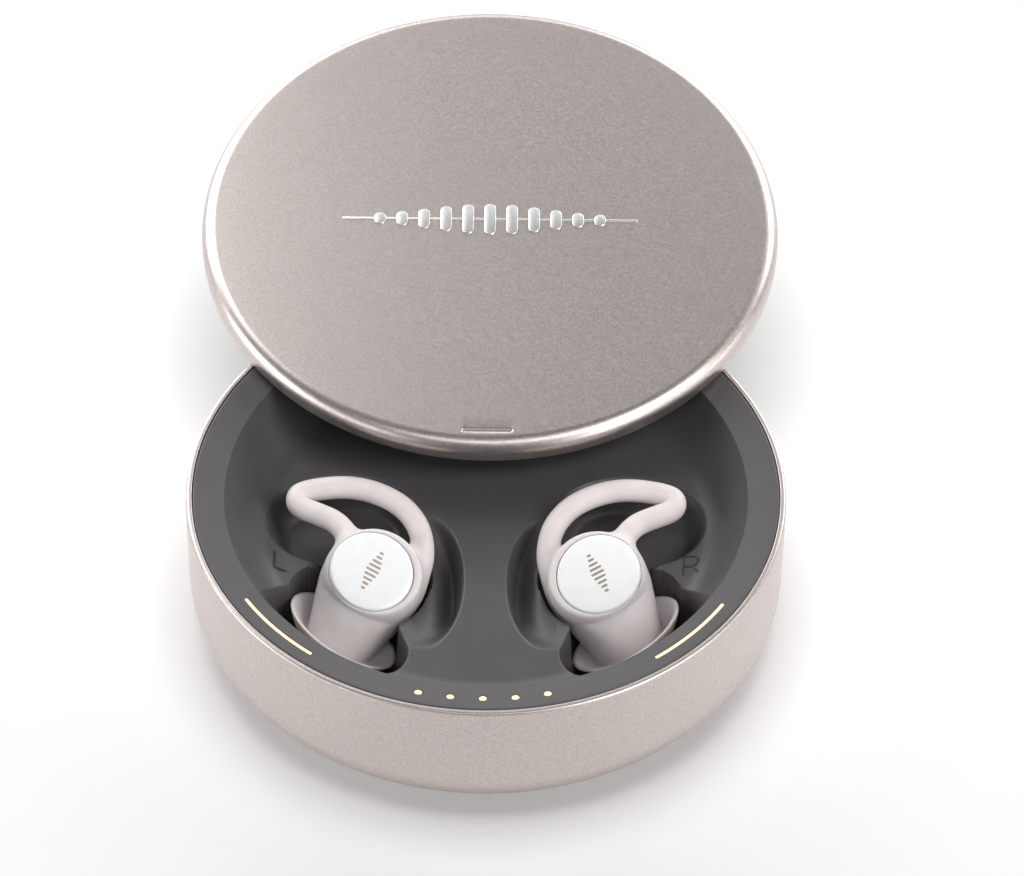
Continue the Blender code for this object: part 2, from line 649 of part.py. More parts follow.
def cup_loft():
    """The soft cup at the ear end: a thin oval dome, open towards the pod."""
    bm = bmesh.new()
    rows = []
    for depth, part in CUP_OUTER + CUP_INNER:
        centre = CUP_AT - CUP_UP * depth
        ring = ring_round(centre, CUP_UP, CUP_RX * part, FINE, CUP_RY * part, CUP_LONG)
        rows.append([bm.verts.new(p) for p in ring])
    outside, inside = rows[: len(CUP_OUTER)], rows[len(CUP_OUTER) :]
    bm.faces.new(outside[-1])
    bm.faces.new(inside[0])
    walls = list(zip(outside, outside[1:])) + list(zip(inside, inside[1:]))
    for low, high in walls + [(inside[-1], outside[0])]:
        for i in range(FINE):
            bm.faces.new((low[i - 1], low[i], high[i], high[i - 1]))
    return bm


def wing_tube():
    """The loop that hooks into the outer ear: a round tube through the wing's centre line."""
    points = [Vector(p) for p in WING_LINE]
    rings = []
    up = Vector((0, 0, 1))
    for i, point in enumerate(points):
        before, after = points[max(i - 1, 0)], points[min(i + 1, len(points) - 1)]
        rings.append(ring_round(point, (after - before).normalized(), WING_R, 8, along=up))
    return loft(rings)


def cap_rod(high, low, radius, count=FINE):
    return rod(CAP_AT + CAP_UP * low, CAP_AT + CAP_UP * high, radius, count)


def cup_rod(high, low, radius, count=SMALL):
    return rod(CUP_AT + CUP_UP * low, CUP_AT + CUP_UP * high, radius, count)


def make_bud(side, word, colours):
    silicone, cap_white, hard, steel, board, gold, magnet, grille = colours
    at = Vector((-side * CAP_AT.x, CAP_AT.y, CAP_AT.z + RIM_Z)) * MM
    bud = pivot(f"{word}_bud_lift", at)

    def piece(name, bm, colour=None):
        return put(name, mirrored(lifted(bm, RIM_Z), side), colour, bud)

    tip = piece(f"{word}_ear_tip", cup_loft(), silicone)
    add(tip, piece(f"{word}_pod_form", pod_loft()))
    add(tip, piece(f"{word}_wing_form", wing_tube()))
    cut(tip, piece(f"{word}_cap_seat", cap_rod(1.0, -1.1, CAP_R + FIT)))
    cut(tip, piece(f"{word}_pod_hollow", cap_rod(-1.0, -3.9, 5.0)))
    cut(tip, piece(f"{word}_neck_hollow", cup_rod(4.2, -1.0, 2.6)))
    cut(tip, piece(f"{word}_sound_hollow", cup_rod(-0.9, -5.0, 1.85)))

    dome = [ring_round(CAP_AT + CAP_UP * h, CAP_UP, r, FINE) for h, r in CAP_RINGS]
    piece(f"{word}_bud_cap", loft(dome), cap_white)

    housing = piece(f"{word}_bud_housing", cap_rod(-1.05, -3.75, 4.85), hard)
    add(housing, piece(f"{word}_neck_form", cup_rod(4.0, -0.85, 2.45)))
    add(housing, piece(f"{word}_spout_form", cup_rod(-0.5, -3.7, 1.7)))
    cut(housing, piece(f"{word}_housing_hollow", cap_rod(0.0, -3.2, 4.35)))
    cut(housing, piece(f"{word}_driver_hollow", cup_rod(4.5, -0.4, 2.0)))
    cut(housing, piece(f"{word}_spout_hollow", cup_rod(0.0, -5.0, 1.3)))

    for number, spot in enumerate(CONTACTS, 1):
        low = Vector((spot.x, spot.y, CONTACT_FACE))
        hole = rod(low - Vector((0, 0, 2)), spot + Vector((0, 0, 0.6)), CONTACT_HOLE_R, TINY)
        cut(tip, piece(f"{word}_contact_hole_{number}", hole))
        piece(f"{word}_bud_contact_{number}", rod(low, spot, CONTACT_R, TINY), gold)

    piece(f"{word}_bud_battery", cap_rod(-1.9, -3.1, 3.8), steel)
    piece(f"{word}_bud_board", cap_rod(-1.2, -1.75, 4.1), board)
    piece(f"{word}_driver", cup_rod(1.2, -0.25, 1.8), magnet)
    piece(f"{word}_spout_mesh", cup_rod(-3.3, -3.6, 1.15), grille)


def make_contacts(side, word, block_colour, gold):
    """The charging contacts in the drum: two sprung pins on one carrier, inside an open block."""
    first, second = CONTACTS
    middle, along = (first + second) / 2, (second - first)
    turned_by = Matrix.Rotation(math.atan2(along.y, along.x), 4, "Z")

    def placed(outline, low, high):
        bm = outline_prism(outline, low, high)
        bmesh.ops.transform(bm, matrix=turned_by, verts=bm.verts)
        bmesh.ops.translate(bm, vec=(middle.x, middle.y, RIM_Z), verts=bm.verts)
        return mirrored(bm, side)

    low = POD_PIT_FLOOR + 0.1
    body = placed(rounded(0, 0, 2.6, 1.5, 0.4, 2), low, low + 1.0)
    block = put(f"{word}_contact_block", body, block_colour)
    cut(block, put(f"{word}_block_slot", placed(rounded(0, 0, 2.1, 0.95, 0.3, 2), low - 1, low + 2)))
    at = Vector((side * -middle.x, middle.y, RIM_Z + PIN_BAR_Z)) * MM
    travel = pivot(f"{word}_pin_travel", at)
    bar = placed(rounded(0, 0, 1.95, 0.75, 0.2, 2), PIN_BAR_Z, PIN_BAR_Z + PIN_BAR_T)
    pins = put(f"{word}_charge_pins", bar, gold, travel)
    for number, spot in enumerate(CONTACTS, 1):
        top = CONTACT_FACE - PIN_GAP
        pin = rod((spot.x, spot.y, PIN_BAR_Z + 0.2), (spot.x, spot.y, top), PIN_R, 8)
        add(pins, put(f"{word}_pin_{number}", mirrored(lifted(pin, RIM_Z), side), None, travel))


def main():
    for obj in list(bpy.data.objects):
        bpy.data.objects.remove(obj)
    alloy = finish_colour("anodised_alloy", (0.52, 0.47, 0.45), 0.38, 1.0)
    dark = finish_colour("tray_plastic", (0.085, 0.08, 0.083), 0.45)
    cover = finish_colour("cover_plastic", (0.30, 0.28, 0.27), 0.55)
    rubber = finish_colour("foot_rubber", (0.05, 0.05, 0.052), 0.85)
    pipe = finish_colour("light_pipe", (0.95, 0.80, 0.62), 0.35)
    board = finish_colour("circuit_board", (0.02, 0.12, 0.06), 0.5)
    chip = finish_colour("chip", (0.03, 0.03, 0.03), 0.4)
    foil = finish_colour("battery_foil", (0.55, 0.56, 0.58), 0.35, 0.8)
    steel = finish_colour("steel", (0.62, 0.62, 0.63), 0.3, 1.0)
    brass = finish_colour("brass", (0.72, 0.52, 0.22), 0.35, 1.0)
    magnet = finish_colour("magnet", (0.45, 0.45, 0.47), 0.3, 1.0)
    acetal = finish_colour("acetal", (0.06, 0.06, 0.06), 0.4)
    polish = finish_colour("polished_mark", (0.86, 0.86, 0.87), 0.12, 1.0)
    silicone = finish_colour("silicone", (0.72, 0.66, 0.65), 0.5)
    white = finish_colour("cap_white", (0.88, 0.89, 0.90), 0.3)
    hard = finish_colour("bud_plastic", (0.80, 0.80, 0.80), 0.45)
    gold = finish_colour("gold", (0.85, 0.62, 0.25), 0.25, 1.0)
    grille = finish_colour("spout_mesh", (0.2, 0.2, 0.2), 0.5, 1.0)

    lid = pivot("lid_pivot", (0, 0, (RIM_Z + LID_GAP + PATH_R) * MM))
    make_shell(alloy)
    make_tray(dark)
    make_lights(pipe, board)
    make_bottom(cover, rubber, steel, brass)
    make_electronics(board, chip, foil, steel, dark)
    make_catches(magnet, lid)
    make_lid(lid, alloy, dark, acetal, polish)
    make_guides(acetal, steel)
    for side, word in ((LEFT, "left"), (RIGHT, "right")):
        make_contacts(side, word, dark, gold)
        make_bud(side, word, (silicone, white, hard, steel, board, gold, magnet, grille))
    lid.rotation_euler.x = OPEN_ANGLE


main()
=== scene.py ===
"""Looks of a round charger for two wireless earbuds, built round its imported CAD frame.

Shapes are worked out in millimetres, in the frame's own axes: +Z up, the battery lights at the front (-Y) and
the lid slid open to the rear (+Y). mesh_piece() turns them into metres. Heights of the tray and the earbuds
count from the drum's top edge, the rim. The lid's pieces are drawn closed and then turned open.
"""

import json
import math

import bmesh
import bpy
import numpy as np
import openvdb
from mathutils import Matrix, Vector


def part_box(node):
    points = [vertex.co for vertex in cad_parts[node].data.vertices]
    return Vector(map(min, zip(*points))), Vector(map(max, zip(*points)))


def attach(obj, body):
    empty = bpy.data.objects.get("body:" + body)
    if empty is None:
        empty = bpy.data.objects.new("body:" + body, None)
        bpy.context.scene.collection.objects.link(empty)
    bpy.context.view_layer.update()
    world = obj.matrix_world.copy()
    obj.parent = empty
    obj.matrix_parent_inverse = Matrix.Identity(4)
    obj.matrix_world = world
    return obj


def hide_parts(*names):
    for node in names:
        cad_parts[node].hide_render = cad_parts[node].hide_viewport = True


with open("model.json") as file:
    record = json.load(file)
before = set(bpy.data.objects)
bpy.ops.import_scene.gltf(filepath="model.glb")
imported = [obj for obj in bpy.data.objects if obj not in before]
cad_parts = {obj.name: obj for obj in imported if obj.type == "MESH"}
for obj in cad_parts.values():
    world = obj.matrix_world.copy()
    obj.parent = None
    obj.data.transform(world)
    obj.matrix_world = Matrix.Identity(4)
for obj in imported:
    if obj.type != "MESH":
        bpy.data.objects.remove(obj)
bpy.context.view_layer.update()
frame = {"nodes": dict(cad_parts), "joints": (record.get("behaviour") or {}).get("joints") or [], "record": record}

MM = 0.001
LEFT, RIGHT = -1, 1
SIDES = ((LEFT, "left"), (RIGHT, "right"))


def low_of(node):
    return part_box(node)[0] / MM


def high_of(node):
    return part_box(node)[1] / MM


# --------------- sizes

RADIUS = high_of("base_shell").x
RIM_Z = high_of("base_shell").z
SHELL_FOOT_Z = low_of("base_shell").z
COVER_R = high_of("bottom_cover").x
FOOT_R = high_of("foot_pad").x
CORNER_R, CORNER_H = 9.5, 7.4
WALL = 1.5
PORT_GAP = 0.33
LIP_R = high_of("tray").x + 0.1

BEZEL_R = high_of("tray").x
BEZEL_OUT_Z = -0.05
BOWL_R, BOWL_TOP_Z = 33.15, -0.57
FLOOR_R, FLOOR_Z = 26.5, -6.5
BOWL_POWER = 2.2
BEZEL_T = 1.45
TRAY_T = 1.0

LIGHT_R = 35.2
DOT_R, DOT_STEP = 0.55, math.radians(6.5)
ARC_FROM, ARC_TO, ARC_HALF = math.radians(37.2), math.radians(56.9), 0.26
SEAL_IN, SEAL_OUT = 0.01, 0.09

LID_SLIDE = next(joint for joint in frame["joints"] if joint["name"] == "lid_slide")
LID_PIVOT = Vector(LID_SLIDE["pos_m"])
LID_OPEN_ANGLE = math.radians(LID_SLIDE["range_deg"][1])
LID_GAP, LID_T, LID_TOP_T, LID_LIP_T = 0.3, 3.3, 0.9, 1.2
LID_LOW, LID_TOP = RIM_Z + LID_GAP, RIM_Z + LID_GAP + LID_T
PATH_R = LID_PIVOT.z / MM - LID_LOW
LINING_T = 0.6
RAIL_ENDS, CHANNEL_ENDS = (-33.2, 32.0), (-31.3, 30.2)

# The finger mark at the lid's front: its place, its half sizes, and how far its wall widens at each height.
FINGER_Y, FINGER_X, FINGER_W = -35.35, 3.18, 0.2
FINGER_RINGS = (
    (0.0, LID_TOP - 0.2), (0.0, LID_TOP - 0.1), (0.05, LID_TOP - 0.06), (0.28, LID_TOP + 0.005),
    (0.3, LID_TOP + 0.4),
)

CAP_AT = Vector((-14.2, -10.55, -4.2))
CAP_UP = Vector((0.185, -0.364, 0.912)).normalized()
CUP_AT = Vector((-17.75, -14.1, -11.3))
SPOUT_UP = Vector((0.51, 0.34, 0.79)).normalized()
CUP_UP = Vector((0.49, 0.267, 0.828)).normalized()
CUP_LONG = Vector((0.842, -0.385, -0.377))
CAP_R = 5.35
CUP_RX, CUP_RY, CUP_DEPTH = 7.85, 6.9, 4.0
POD_R, POD_DROP, POD_SHIFT = 6.45, 3.1, 0.55
WING_R = 1.45
WING_LINE = (
    (-10.6, -11.0, -10.4), (-9.4, -9.5, -9.6), (-8.5, -7.7, -8.2), (-7.95, -5.7, -6.8), (-8.1, -3.7, -5.6),
    (-8.9, -1.5, -4.9), (-10.5, 0.5, -4.3), (-12.7, 2.0, -3.9), (-15.5, 3.1, -3.7), (-18.5, 3.4, -3.6),
    (-21.8, 3.0, -3.7), (-23.7, 2.2, -3.75), (-24.0, 0.9, -3.8), (-23.2, -0.1, -3.9), (-21.3, -1.0, -4.0),
    (-19.3, -2.1, -4.1), (-17.9, -3.7, -4.2), (-17.2, -5.3, -4.5), (-16.8, -7.0, -5.3),
)

MARK_ALONG = Vector((0.42, 0.90, 0.2))
CONTACTS = (Vector((-13.3, -6.1, -7.3)), Vector((-11.2, -6.9, -7.85)))

# The tray's recesses on the left: places and half sizes or radii in plan, heights from the rim.
CORE_PITS = ((-22.5, -15.2, 4.4), (-16.4, -11.4, 3.6), (-14.0, -21.8, 4.1))
CORE_PIT_GROW = 0.5
CORE_PIT_FLOOR = -16.7
POD_PIT = (-14.2, -9.6, 7.75)
POD_PIT_FLOOR = -13.0
PIN_WELL = (2.75, 1.65)
PIN_WELL_POWER, PIN_WELL_SLOPE, PIN_WELL_FLOOR = 6.0, 8.0, -13.15
WING_PIT = (-18.3, 0.6, 9.3, 7.6)
WING_PIT_FLOOR = -10.8
GROOVE = (-14.3, -10.0, 11.75, 15.0)
GROOVE_DEPTH, GROOVE_SPAN, GROOVE_WALL = 4.2, 11.4, 1.5
GROOVE_FROM_X, GROOVE_FADE, GROOVE_SHELF, GROOVE_DIP = -17.0, 8.0, 0.55, 1.9
OVAL_POWER = 2.2

CAMERA_AT = (0.0032, -0.4381, 0.4770)
CAMERA_ELEVATION, CAMERA_ROLL, CAMERA_LENS = math.radians(45.60), math.radians(0.63), 175.78

MIDDLE = Vector((0.0, 0.02, 0.02))
# Name, azimuth from the front to the right, elevation, distance in metres, width, height, radiance.
OBJECT_LIGHTS = (
    ("rear_panel", 180, 52, 0.9, 0.9, 0.5, 0.3),
    ("rear_low_panel", 180, 22, 0.9, 1.0, 0.35, 1.95),
    ("rear_left_panel", -140, 20, 0.6, 0.5, 0.3, 4.2),
    ("rear_right_panel", 140, 20, 0.6, 0.5, 0.3, 4.4),
    ("front_high_panel", 0, 57, 0.8, 0.6, 0.12, 4.2),
    ("front_panel", 0, 48, 0.9, 0.6, 0.3, 0.35),
    ("right_key", 60, 45, 0.8, 0.35, 0.35, 8.6),
    ("right_low_panel", 80, 12, 0.5, 0.3, 0.2, 2.3),
    ("left_low_panel", -80, 12, 0.5, 0.3, 0.2, 5.6),
    ("front_right_low_panel", 42, 14, 0.5, 0.2, 0.2, 4.0),
    ("front_left_low_panel", -42, 14, 0.5, 0.2, 0.2, 2.2),
    ("rear_left_near", -137, 46, 0.36, 0.16, 0.16, 4.0),
)
SLEEVE_LIGHTS = (("sleeve_fill_panel", 0, 38, 0.8, 0.5, 0.3, 1.7),)
FLOOR_LIGHTS = (
    ("floor_rear_panel", 180, 25, 0.9, 1.2, 0.4, 4.1),
    ("floor_top_panel", 0, 88, 0.8, 0.5, 0.5, 5.1),
)

TURN = 192
VOXEL = 0.12


# --------------- mesh helpers


def new_mesh(name, points, faces):
    """A mesh from points in millimetres."""
    mesh = bpy.data.meshes.new(name)
    mesh.from_pydata((np.asarray(points, float) * MM).tolist(), [], [tuple(face) for face in faces])
    return mesh


def add_object(name, data):
    made = bpy.data.objects.new(name, data)
    bpy.context.scene.collection.objects.link(made)
    return made


def shade(mesh, sharp):
    """Smooth shading, broken at edges sharper than an angle in degrees."""
    mesh.shade_smooth()
    mesh.set_sharp_from_angle(angle=math.radians(sharp))


def mesh_piece(name, points, faces, body, slot, replaces=(), sharp=35, material=None):
    """Makes a piece from points in millimetres and lets it ride on its CAD body."""
    return finish_piece(name, new_mesh(name, points, faces), body, slot, replaces, sharp, material)


def finish_piece(name, mesh, body, slot, replaces, sharp, material=None):
    """Cleans and shades a mesh, and makes it a piece. It takes the slot's own finish unless given another."""
    mesh.validate()
    tidy = bmesh.new()
    tidy.from_mesh(mesh)
    bmesh.ops.remove_doubles(tidy, verts=tidy.verts, dist=1e-7)
    bmesh.ops.recalc_face_normals(tidy, faces=tidy.faces)
    tidy.to_mesh(mesh)
    tidy.free()
    shade(mesh, sharp)
    piece = add_object(name, mesh)
    mesh.materials.append(material or MATERIALS[slot])
    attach(piece, body)
    if replaces:
        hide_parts(*replaces)
    return piece


def apply_modifiers(piece):
    """Bakes a piece's modifiers into its mesh."""
    graph = bpy.context.evaluated_depsgraph_get()
    mesh = bpy.data.meshes.new_from_object(piece.evaluated_get(graph))
    piece.modifiers.clear()
    piece.data = mesh


def carve(piece, points, faces):
    """Cuts a closed form, in millimetres, out of a piece."""
    mesh = new_mesh("cutter", points, faces)
    cutter = add_object("cutter", mesh)
    tidy = bmesh.new()
    tidy.from_mesh(mesh)
    bmesh.ops.recalc_face_normals(tidy, faces=tidy.faces)
    tidy.to_mesh(mesh)
    tidy.free()
    modifier = piece.modifiers.new("carve", "BOOLEAN")
    modifier.operation = "DIFFERENCE"
    modifier.object = cutter
    modifier.solver = "EXACT"
    apply_modifiers(piece)
    bpy.data.objects.remove(cutter)


def rounded_path(corners, steps=5):
    """A closed outline in which each (x, y, radius) corner is rounded off by an arc."""
    points = []
    count = len(corners)
    for i, (x, y, radius) in enumerate(corners):
        here = Vector((x, y))
        if radius <= 0:
            points.append((x, y))
            continue
        before = (Vector(corners[i - 1][:2]) - here).normalized()
        after = (Vector(corners[(i + 1) % count][:2]) - here).normalized()
        half = before.angle(after) / 2
        start, end = here + before * radius / math.tan(half), here + after * radius / math.tan(half)
        middle = here + (before + after).normalized() * radius / math.sin(half)
        sweep = math.pi - 2 * half
        for step in range(steps + 1):
            part = step / steps
            a = (start - middle) * math.sin((1 - part) * sweep) / math.sin(sweep)
            b = (end - middle) * math.sin(part * sweep) / math.sin(sweep)
            points.append(tuple(middle + a + b))
    return points


def ellipse_points(cx, cy, rx, ry, start, end, steps):
    for i in range(steps + 1):
        angle = math.radians(start + (end - start) * i / steps)
        yield cx + rx * math.cos(angle), cy + ry * math.sin(angle)


def turned(profile, steps=TURN):
    """Points and faces of a solid of revolution about Z. A profile point on the axis becomes a pole."""
    points, rows, faces = [], [], []
    for r, z in profile:
        if r < 1e-6:
            rows.append([len(points)] * steps)
            points.append((0.0, 0.0, z))
            continue
        rows.append([len(points) + i for i in range(steps)])
        for i in range(steps):
            angle = math.tau * i / steps
            points.append((r * math.cos(angle), r * math.sin(angle), z))
    for row, following in zip(rows, rows[1:] + rows[:1]):
        for i in range(steps):
            corners = [row[i - 1], row[i], following[i], following[i - 1]]
            face = [c for n, c in enumerate(corners) if c not in corners[:n]]
            if len(face) > 2:
                faces.append(face)
    return np.array(points), faces


def lofted(rings, closed=False):
    """Points and faces of a solid through rings of equal count, capped unless it closes on itself."""
    count = len(rings[0])
    points = [tuple(p) for ring in rings for p in ring]
    faces = []
    steps = len(rings) if closed else len(rings) - 1
    for row in range(steps):
        a, b = row * count, (row + 1) % len(rings) * count
        for i in range(count):
            faces.append((a + i - 1 if i else a + count - 1, a + i, b + i, b + i - 1 if i else b + count - 1))
    if not closed:
        faces.append(tuple(range(count)))
        faces.append(tuple(range(len(points) - count, len(points))))
    return np.array(points), faces


def merged(parts):
    """Several (points, faces) as one."""
    points, faces, start = [], [], 0
    for part_points, part_faces in parts:
        points.append(np.asarray(part_points, float))
        faces += [tuple(start + corner for corner in face) for face in part_faces]
        start += len(part_points)
    return np.concatenate(points), faces


def prism(outline, low, high, bevel=0.0, steps=3):
    """A flat form on an outline, its top edge rounded by a bevel. The outline runs anticlockwise."""
    flat = [Vector(p) for p in outline]
    inward = []
    for i, here in enumerate(flat):
        along = (flat[(i + 1) % len(flat)] - flat[i - 1]).normalized()
        inward.append(Vector((-along.y, along.x)))
    rings = [[(p.x, p.y, low) for p in flat]]
    for step in range(steps + 1 if bevel else 1):
        angle = math.pi / 2 * step / steps
        shift, drop = bevel * (1 - math.cos(angle)), bevel * (1 - math.sin(angle))
        rings.append([(p.x + n.x * shift, p.y + n.y * shift, high - drop) for p, n in zip(flat, inward)])
    return lofted(rings)


def mirrored(points, side):
    """Points drawn on the left, turned to the given side."""
    points = np.array(points, float)
    if side == RIGHT:
        points[:, 0] *= -1
    return points


def moved(points, x=0.0, y=0.0, z=0.0):
    return np.asarray(points, float) + (x, y, z)


def opened(points):
    """Points of a lid piece drawn closed, turned to where the lid stands open."""
    turn = Matrix.Rotation(LID_OPEN_ANGLE, 4, "X")
    whole = np.array(Matrix.Translation(LID_PIVOT / MM) @ turn @ Matrix.Translation(-LID_PIVOT / MM))
    return np.asarray(points, float) @ whole[:3, :3].T + whole[:3, 3]


def polar(radius, angle):
    """A place on the bezel. Angles count from the front, to the right."""
    return radius * math.sin(angle), -radius * math.cos(angle)


def spline(points, steps):
    """A smooth curve through points (Catmull-Rom)."""
    points = np.array(points, float)
    padded = np.concatenate([[2 * points[0] - points[1]], points, [2 * points[-1] - points[-2]]])
    line = []
    for a, b, c, d in zip(padded, padded[1:], padded[2:], padded[3:]):
        for step in range(steps):
            t = step / steps
            bend = (2 * a - 5 * b + 4 * c - d) * t**2 + (3 * b - a - 3 * c + d) * t**3
            line.append(0.5 * (2 * b + (c - a) * t + bend))
    line.append(points[-1])
    return np.array(line)


# --------------- materials


class Finish:
    """A Principled material whose colour, roughness and bump come from procedural nodes."""

    def __init__(self, name, roughness, metallic=0.0, **sockets):
        self.material = bpy.data.materials.new(name)
        self.material.use_nodes = True
        self.tree = self.material.node_tree
        self.shader = self.tree.nodes["Principled BSDF"]
        self.shader.inputs["Roughness"].default_value = roughness
        self.shader.inputs["Metallic"].default_value = metallic
        for socket, value in sockets.items():
            self.shader.inputs[socket.replace("_", " ").title().replace("Ior", "IOR")].default_value = value
        self.place = self.tree.nodes.new("ShaderNodeTexCoord").outputs["Object"]
        self.normal = None

    def node(self, kind, **values):
        made = self.tree.nodes.new(kind)
        for name, value in values.items():
            setattr(made, name, value)
        return made

    def noise(self, size, detail=2.0, roughness=0.5, stretch=None):
        """Noise whose features measure about size, in millimetres."""
        made = self.node("ShaderNodeTexNoise")
        made.inputs["Scale"].default_value = 1 / (size * MM)
        made.inputs["Detail"].default_value = detail
        made.inputs["Roughness"].default_value = roughness
        source = self.place
        if stretch:
            mapping = self.node("ShaderNodeMapping")
            mapping.inputs["Scale"].default_value = stretch
            self.tree.links.new(source, mapping.inputs["Vector"])
            source = mapping.outputs["Vector"]
        self.tree.links.new(source, made.inputs["Vector"])
        return made.outputs["Fac"]

    def ranged(self, source, low, high, start=0.3, end=0.7):
        made = self.node("ShaderNodeMapRange")
        self.tree.links.new(source, made.inputs["Value"])
        for name, value in (("From Min", start), ("From Max", end), ("To Min", low), ("To Max", high)):
            made.inputs[name].default_value = value
        return made.outputs["Result"]

    def colour(self, source, first, second, start=0.3, end=0.7):
        """Blends between two colours as a source goes from start to end."""
        mix = self.node("ShaderNodeMix", data_type="RGBA")
        self.tree.links.new(self.ranged(source, 0.0, 1.0, start, end), mix.inputs["Factor"])
        mix.inputs["A"].default_value = (*first, 1.0)
        mix.inputs["B"].default_value = (*second, 1.0)
        self.tree.links.new(mix.outputs["Result"], self.shader.inputs["Base Color"])

    def rough(self, source, low, high):
        self.tree.links.new(self.ranged(source, low, high), self.shader.inputs["Roughness"])

    def bump(self, source, depth, strength=1.0):
        """Adds relief of a depth in millimetres."""
        made = self.node("ShaderNodeBump")
        made.inputs["Distance"].default_value = depth * MM
        made.inputs["Strength"].default_value = strength
        self.tree.links.new(source, made.inputs["Height"])
        if self.normal:
            self.tree.links.new(self.normal, made.inputs["Normal"])
        self.normal = made.outputs["Normal"]
        self.tree.links.new(self.normal, self.shader.inputs["Normal"])


def alloy_finish():
    """Anodised, bead-blasted aluminium in a warm silver, with a fine sparkle."""
    finish = Finish("bead_blasted_alloy", 0.4, 1.0)
    grain = finish.noise(0.3, 2.0, 0.6)
    finish.colour(grain, (0.55, 0.49, 0.47), (0.66, 0.595, 0.575), 0.34, 0.66)
    finish.rough(finish.noise(0.4, 2.0), 0.34, 0.41)
    finish.bump(finish.noise(0.25, 2.0, 0.6), 0.004, 0.4)
    return finish.material


def tray_finish():
    """Satin moulded plastic in a dark neutral grey."""
    finish = Finish("satin_tray_plastic", 0.42, specular_ior_level=0.45)
    finish.colour(finish.noise(5.0, 3.0), (0.068, 0.064, 0.067), (0.077, 0.073, 0.076))
    finish.rough(finish.noise(0.4, 2.0), 0.38, 0.48)
    finish.bump(finish.noise(0.12, 2.0), 0.004, 0.35)
    return finish.material


def plain_finish(name, first, second, roughness, metallic=0.0, grain=0.15, depth=0.004, patch=3.0, **sockets):
    """A finish with slow colour variation, fine grain and a little variation in gloss."""
    finish = Finish(name, roughness, metallic, **sockets)
    finish.colour(finish.noise(patch, 3.0), first, second)
    finish.rough(finish.noise(grain * 3, 2.0), roughness - 0.05, roughness + 0.05)
    finish.bump(finish.noise(grain, 2.0), depth, 0.4)
    return finish.material


def silicone_finish():
    """Soft silicone: pale warm grey, matte, a little translucent."""
    finish = Finish("soft_silicone", 0.5, subsurface_weight=0.6, subsurface_scale=0.002)
    finish.shader.inputs["Subsurface Radius"].default_value = (1.0, 0.72, 0.66)
    finish.colour(finish.noise(2.5, 3.0), (0.63, 0.58, 0.575), (0.68, 0.63, 0.625))
    finish.rough(finish.noise(0.5, 2.0), 0.46, 0.56)
    finish.bump(finish.noise(0.1, 2.0), 0.003, 0.35)
    return finish.material


def cap_finish():
    """Satin white plastic, very slightly cool."""
    finish = Finish("satin_white_cap", 0.3, coat_weight=0.25, coat_roughness=0.18)
    finish.colour(finish.noise(1.5, 3.0), (0.87, 0.88, 0.89), (0.91, 0.915, 0.925))
    finish.rough(finish.noise(0.3, 2.0), 0.27, 0.35)
    finish.bump(finish.noise(0.08, 2.0), 0.002, 0.3)
    return finish.material


def light_finish():
    """A diffusing light pipe, lit warm white."""
    finish = Finish("lit_light_pipe", 0.4, emission_strength=0.5)
    finish.colour(finish.noise(0.3, 2.0), (0.80, 0.58, 0.40), (0.85, 0.64, 0.46))
    finish.shader.inputs["Emission Color"].default_value = (1.0, 0.64, 0.38, 1.0)
    finish.bump(finish.noise(0.15, 2.0), 0.004, 0.3)
    return finish.material


def brushed_finish(name, first, second, roughness, stretch):
    """Metal with fine lines along one direction."""
    finish = Finish(name, roughness, 1.0)
    lines = finish.noise(0.25, 3.0, 0.6, stretch)
    finish.colour(lines, first, second)
    finish.rough(lines, roughness - 0.08, roughness + 0.08)
    finish.bump(lines, 0.004, 0.35)
    return finish.material


MATERIALS = {
    "anodised_alloy": alloy_finish(),
    "tray_plastic": tray_finish(),
    "cover_plastic": plain_finish("cover_plastic", (0.33, 0.30, 0.29), (0.37, 0.34, 0.33), 0.5),
    "foot_rubber": plain_finish("foot_rubber", (0.028, 0.028, 0.03), (0.04, 0.04, 0.042), 0.8, 0.0, 0.3, 0.02),
    "light_pipe": light_finish(),
    "circuit_board": plain_finish("circuit_board", (0.01, 0.09, 0.04), (0.02, 0.13, 0.06), 0.38, patch=1.2),
    "chip": plain_finish("chip", (0.018, 0.018, 0.02), (0.03, 0.03, 0.032), 0.45),
    "battery_foil": plain_finish("battery_foil", (0.52, 0.53, 0.55), (0.62, 0.63, 0.65), 0.34, 0.9, 0.6, 0.03),
    "steel": brushed_finish("brushed_steel", (0.50, 0.50, 0.51), (0.66, 0.66, 0.67), 0.32, (1.0, 0.06, 1.0)),
    "brass": plain_finish("turned_brass", (0.68, 0.48, 0.18), (0.76, 0.56, 0.24), 0.34, 1.0),
    "magnet": plain_finish("nickel_plated_magnet", (0.44, 0.43, 0.41), (0.54, 0.53, 0.51), 0.28, 1.0),
    "acetal": plain_finish("acetal", (0.05, 0.05, 0.052), (0.065, 0.065, 0.068), 0.38),
    "polished_mark": plain_finish(
        "polished_mark", (0.90, 0.90, 0.91), (0.96, 0.96, 0.97), 0.36, 1.0, 0.1, 0.002
    ),
    "silicone": silicone_finish(),
    "cap_white": cap_finish(),
    "bud_plastic": plain_finish("bud_plastic", (0.68,) * 3, (0.74,) * 3, 0.4),
    "gold": plain_finish("gold_contact", (0.80, 0.56, 0.22), (0.90, 0.66, 0.30), 0.26, 1.0),
    "spout_mesh": plain_finish("spout_mesh", (0.14,) * 3, (0.30,) * 3, 0.45, 1.0, patch=0.15, depth=0.03),
}
BRONZE_PRINT = plain_finish("bronze_print", (0.50, 0.41, 0.32), (0.58, 0.49, 0.40), 0.36, 0.6, 0.1, 0.001)
DARK_PRINT = plain_finish("dark_print", (0.008, 0.008, 0.009), (0.014, 0.014, 0.015), 0.5)
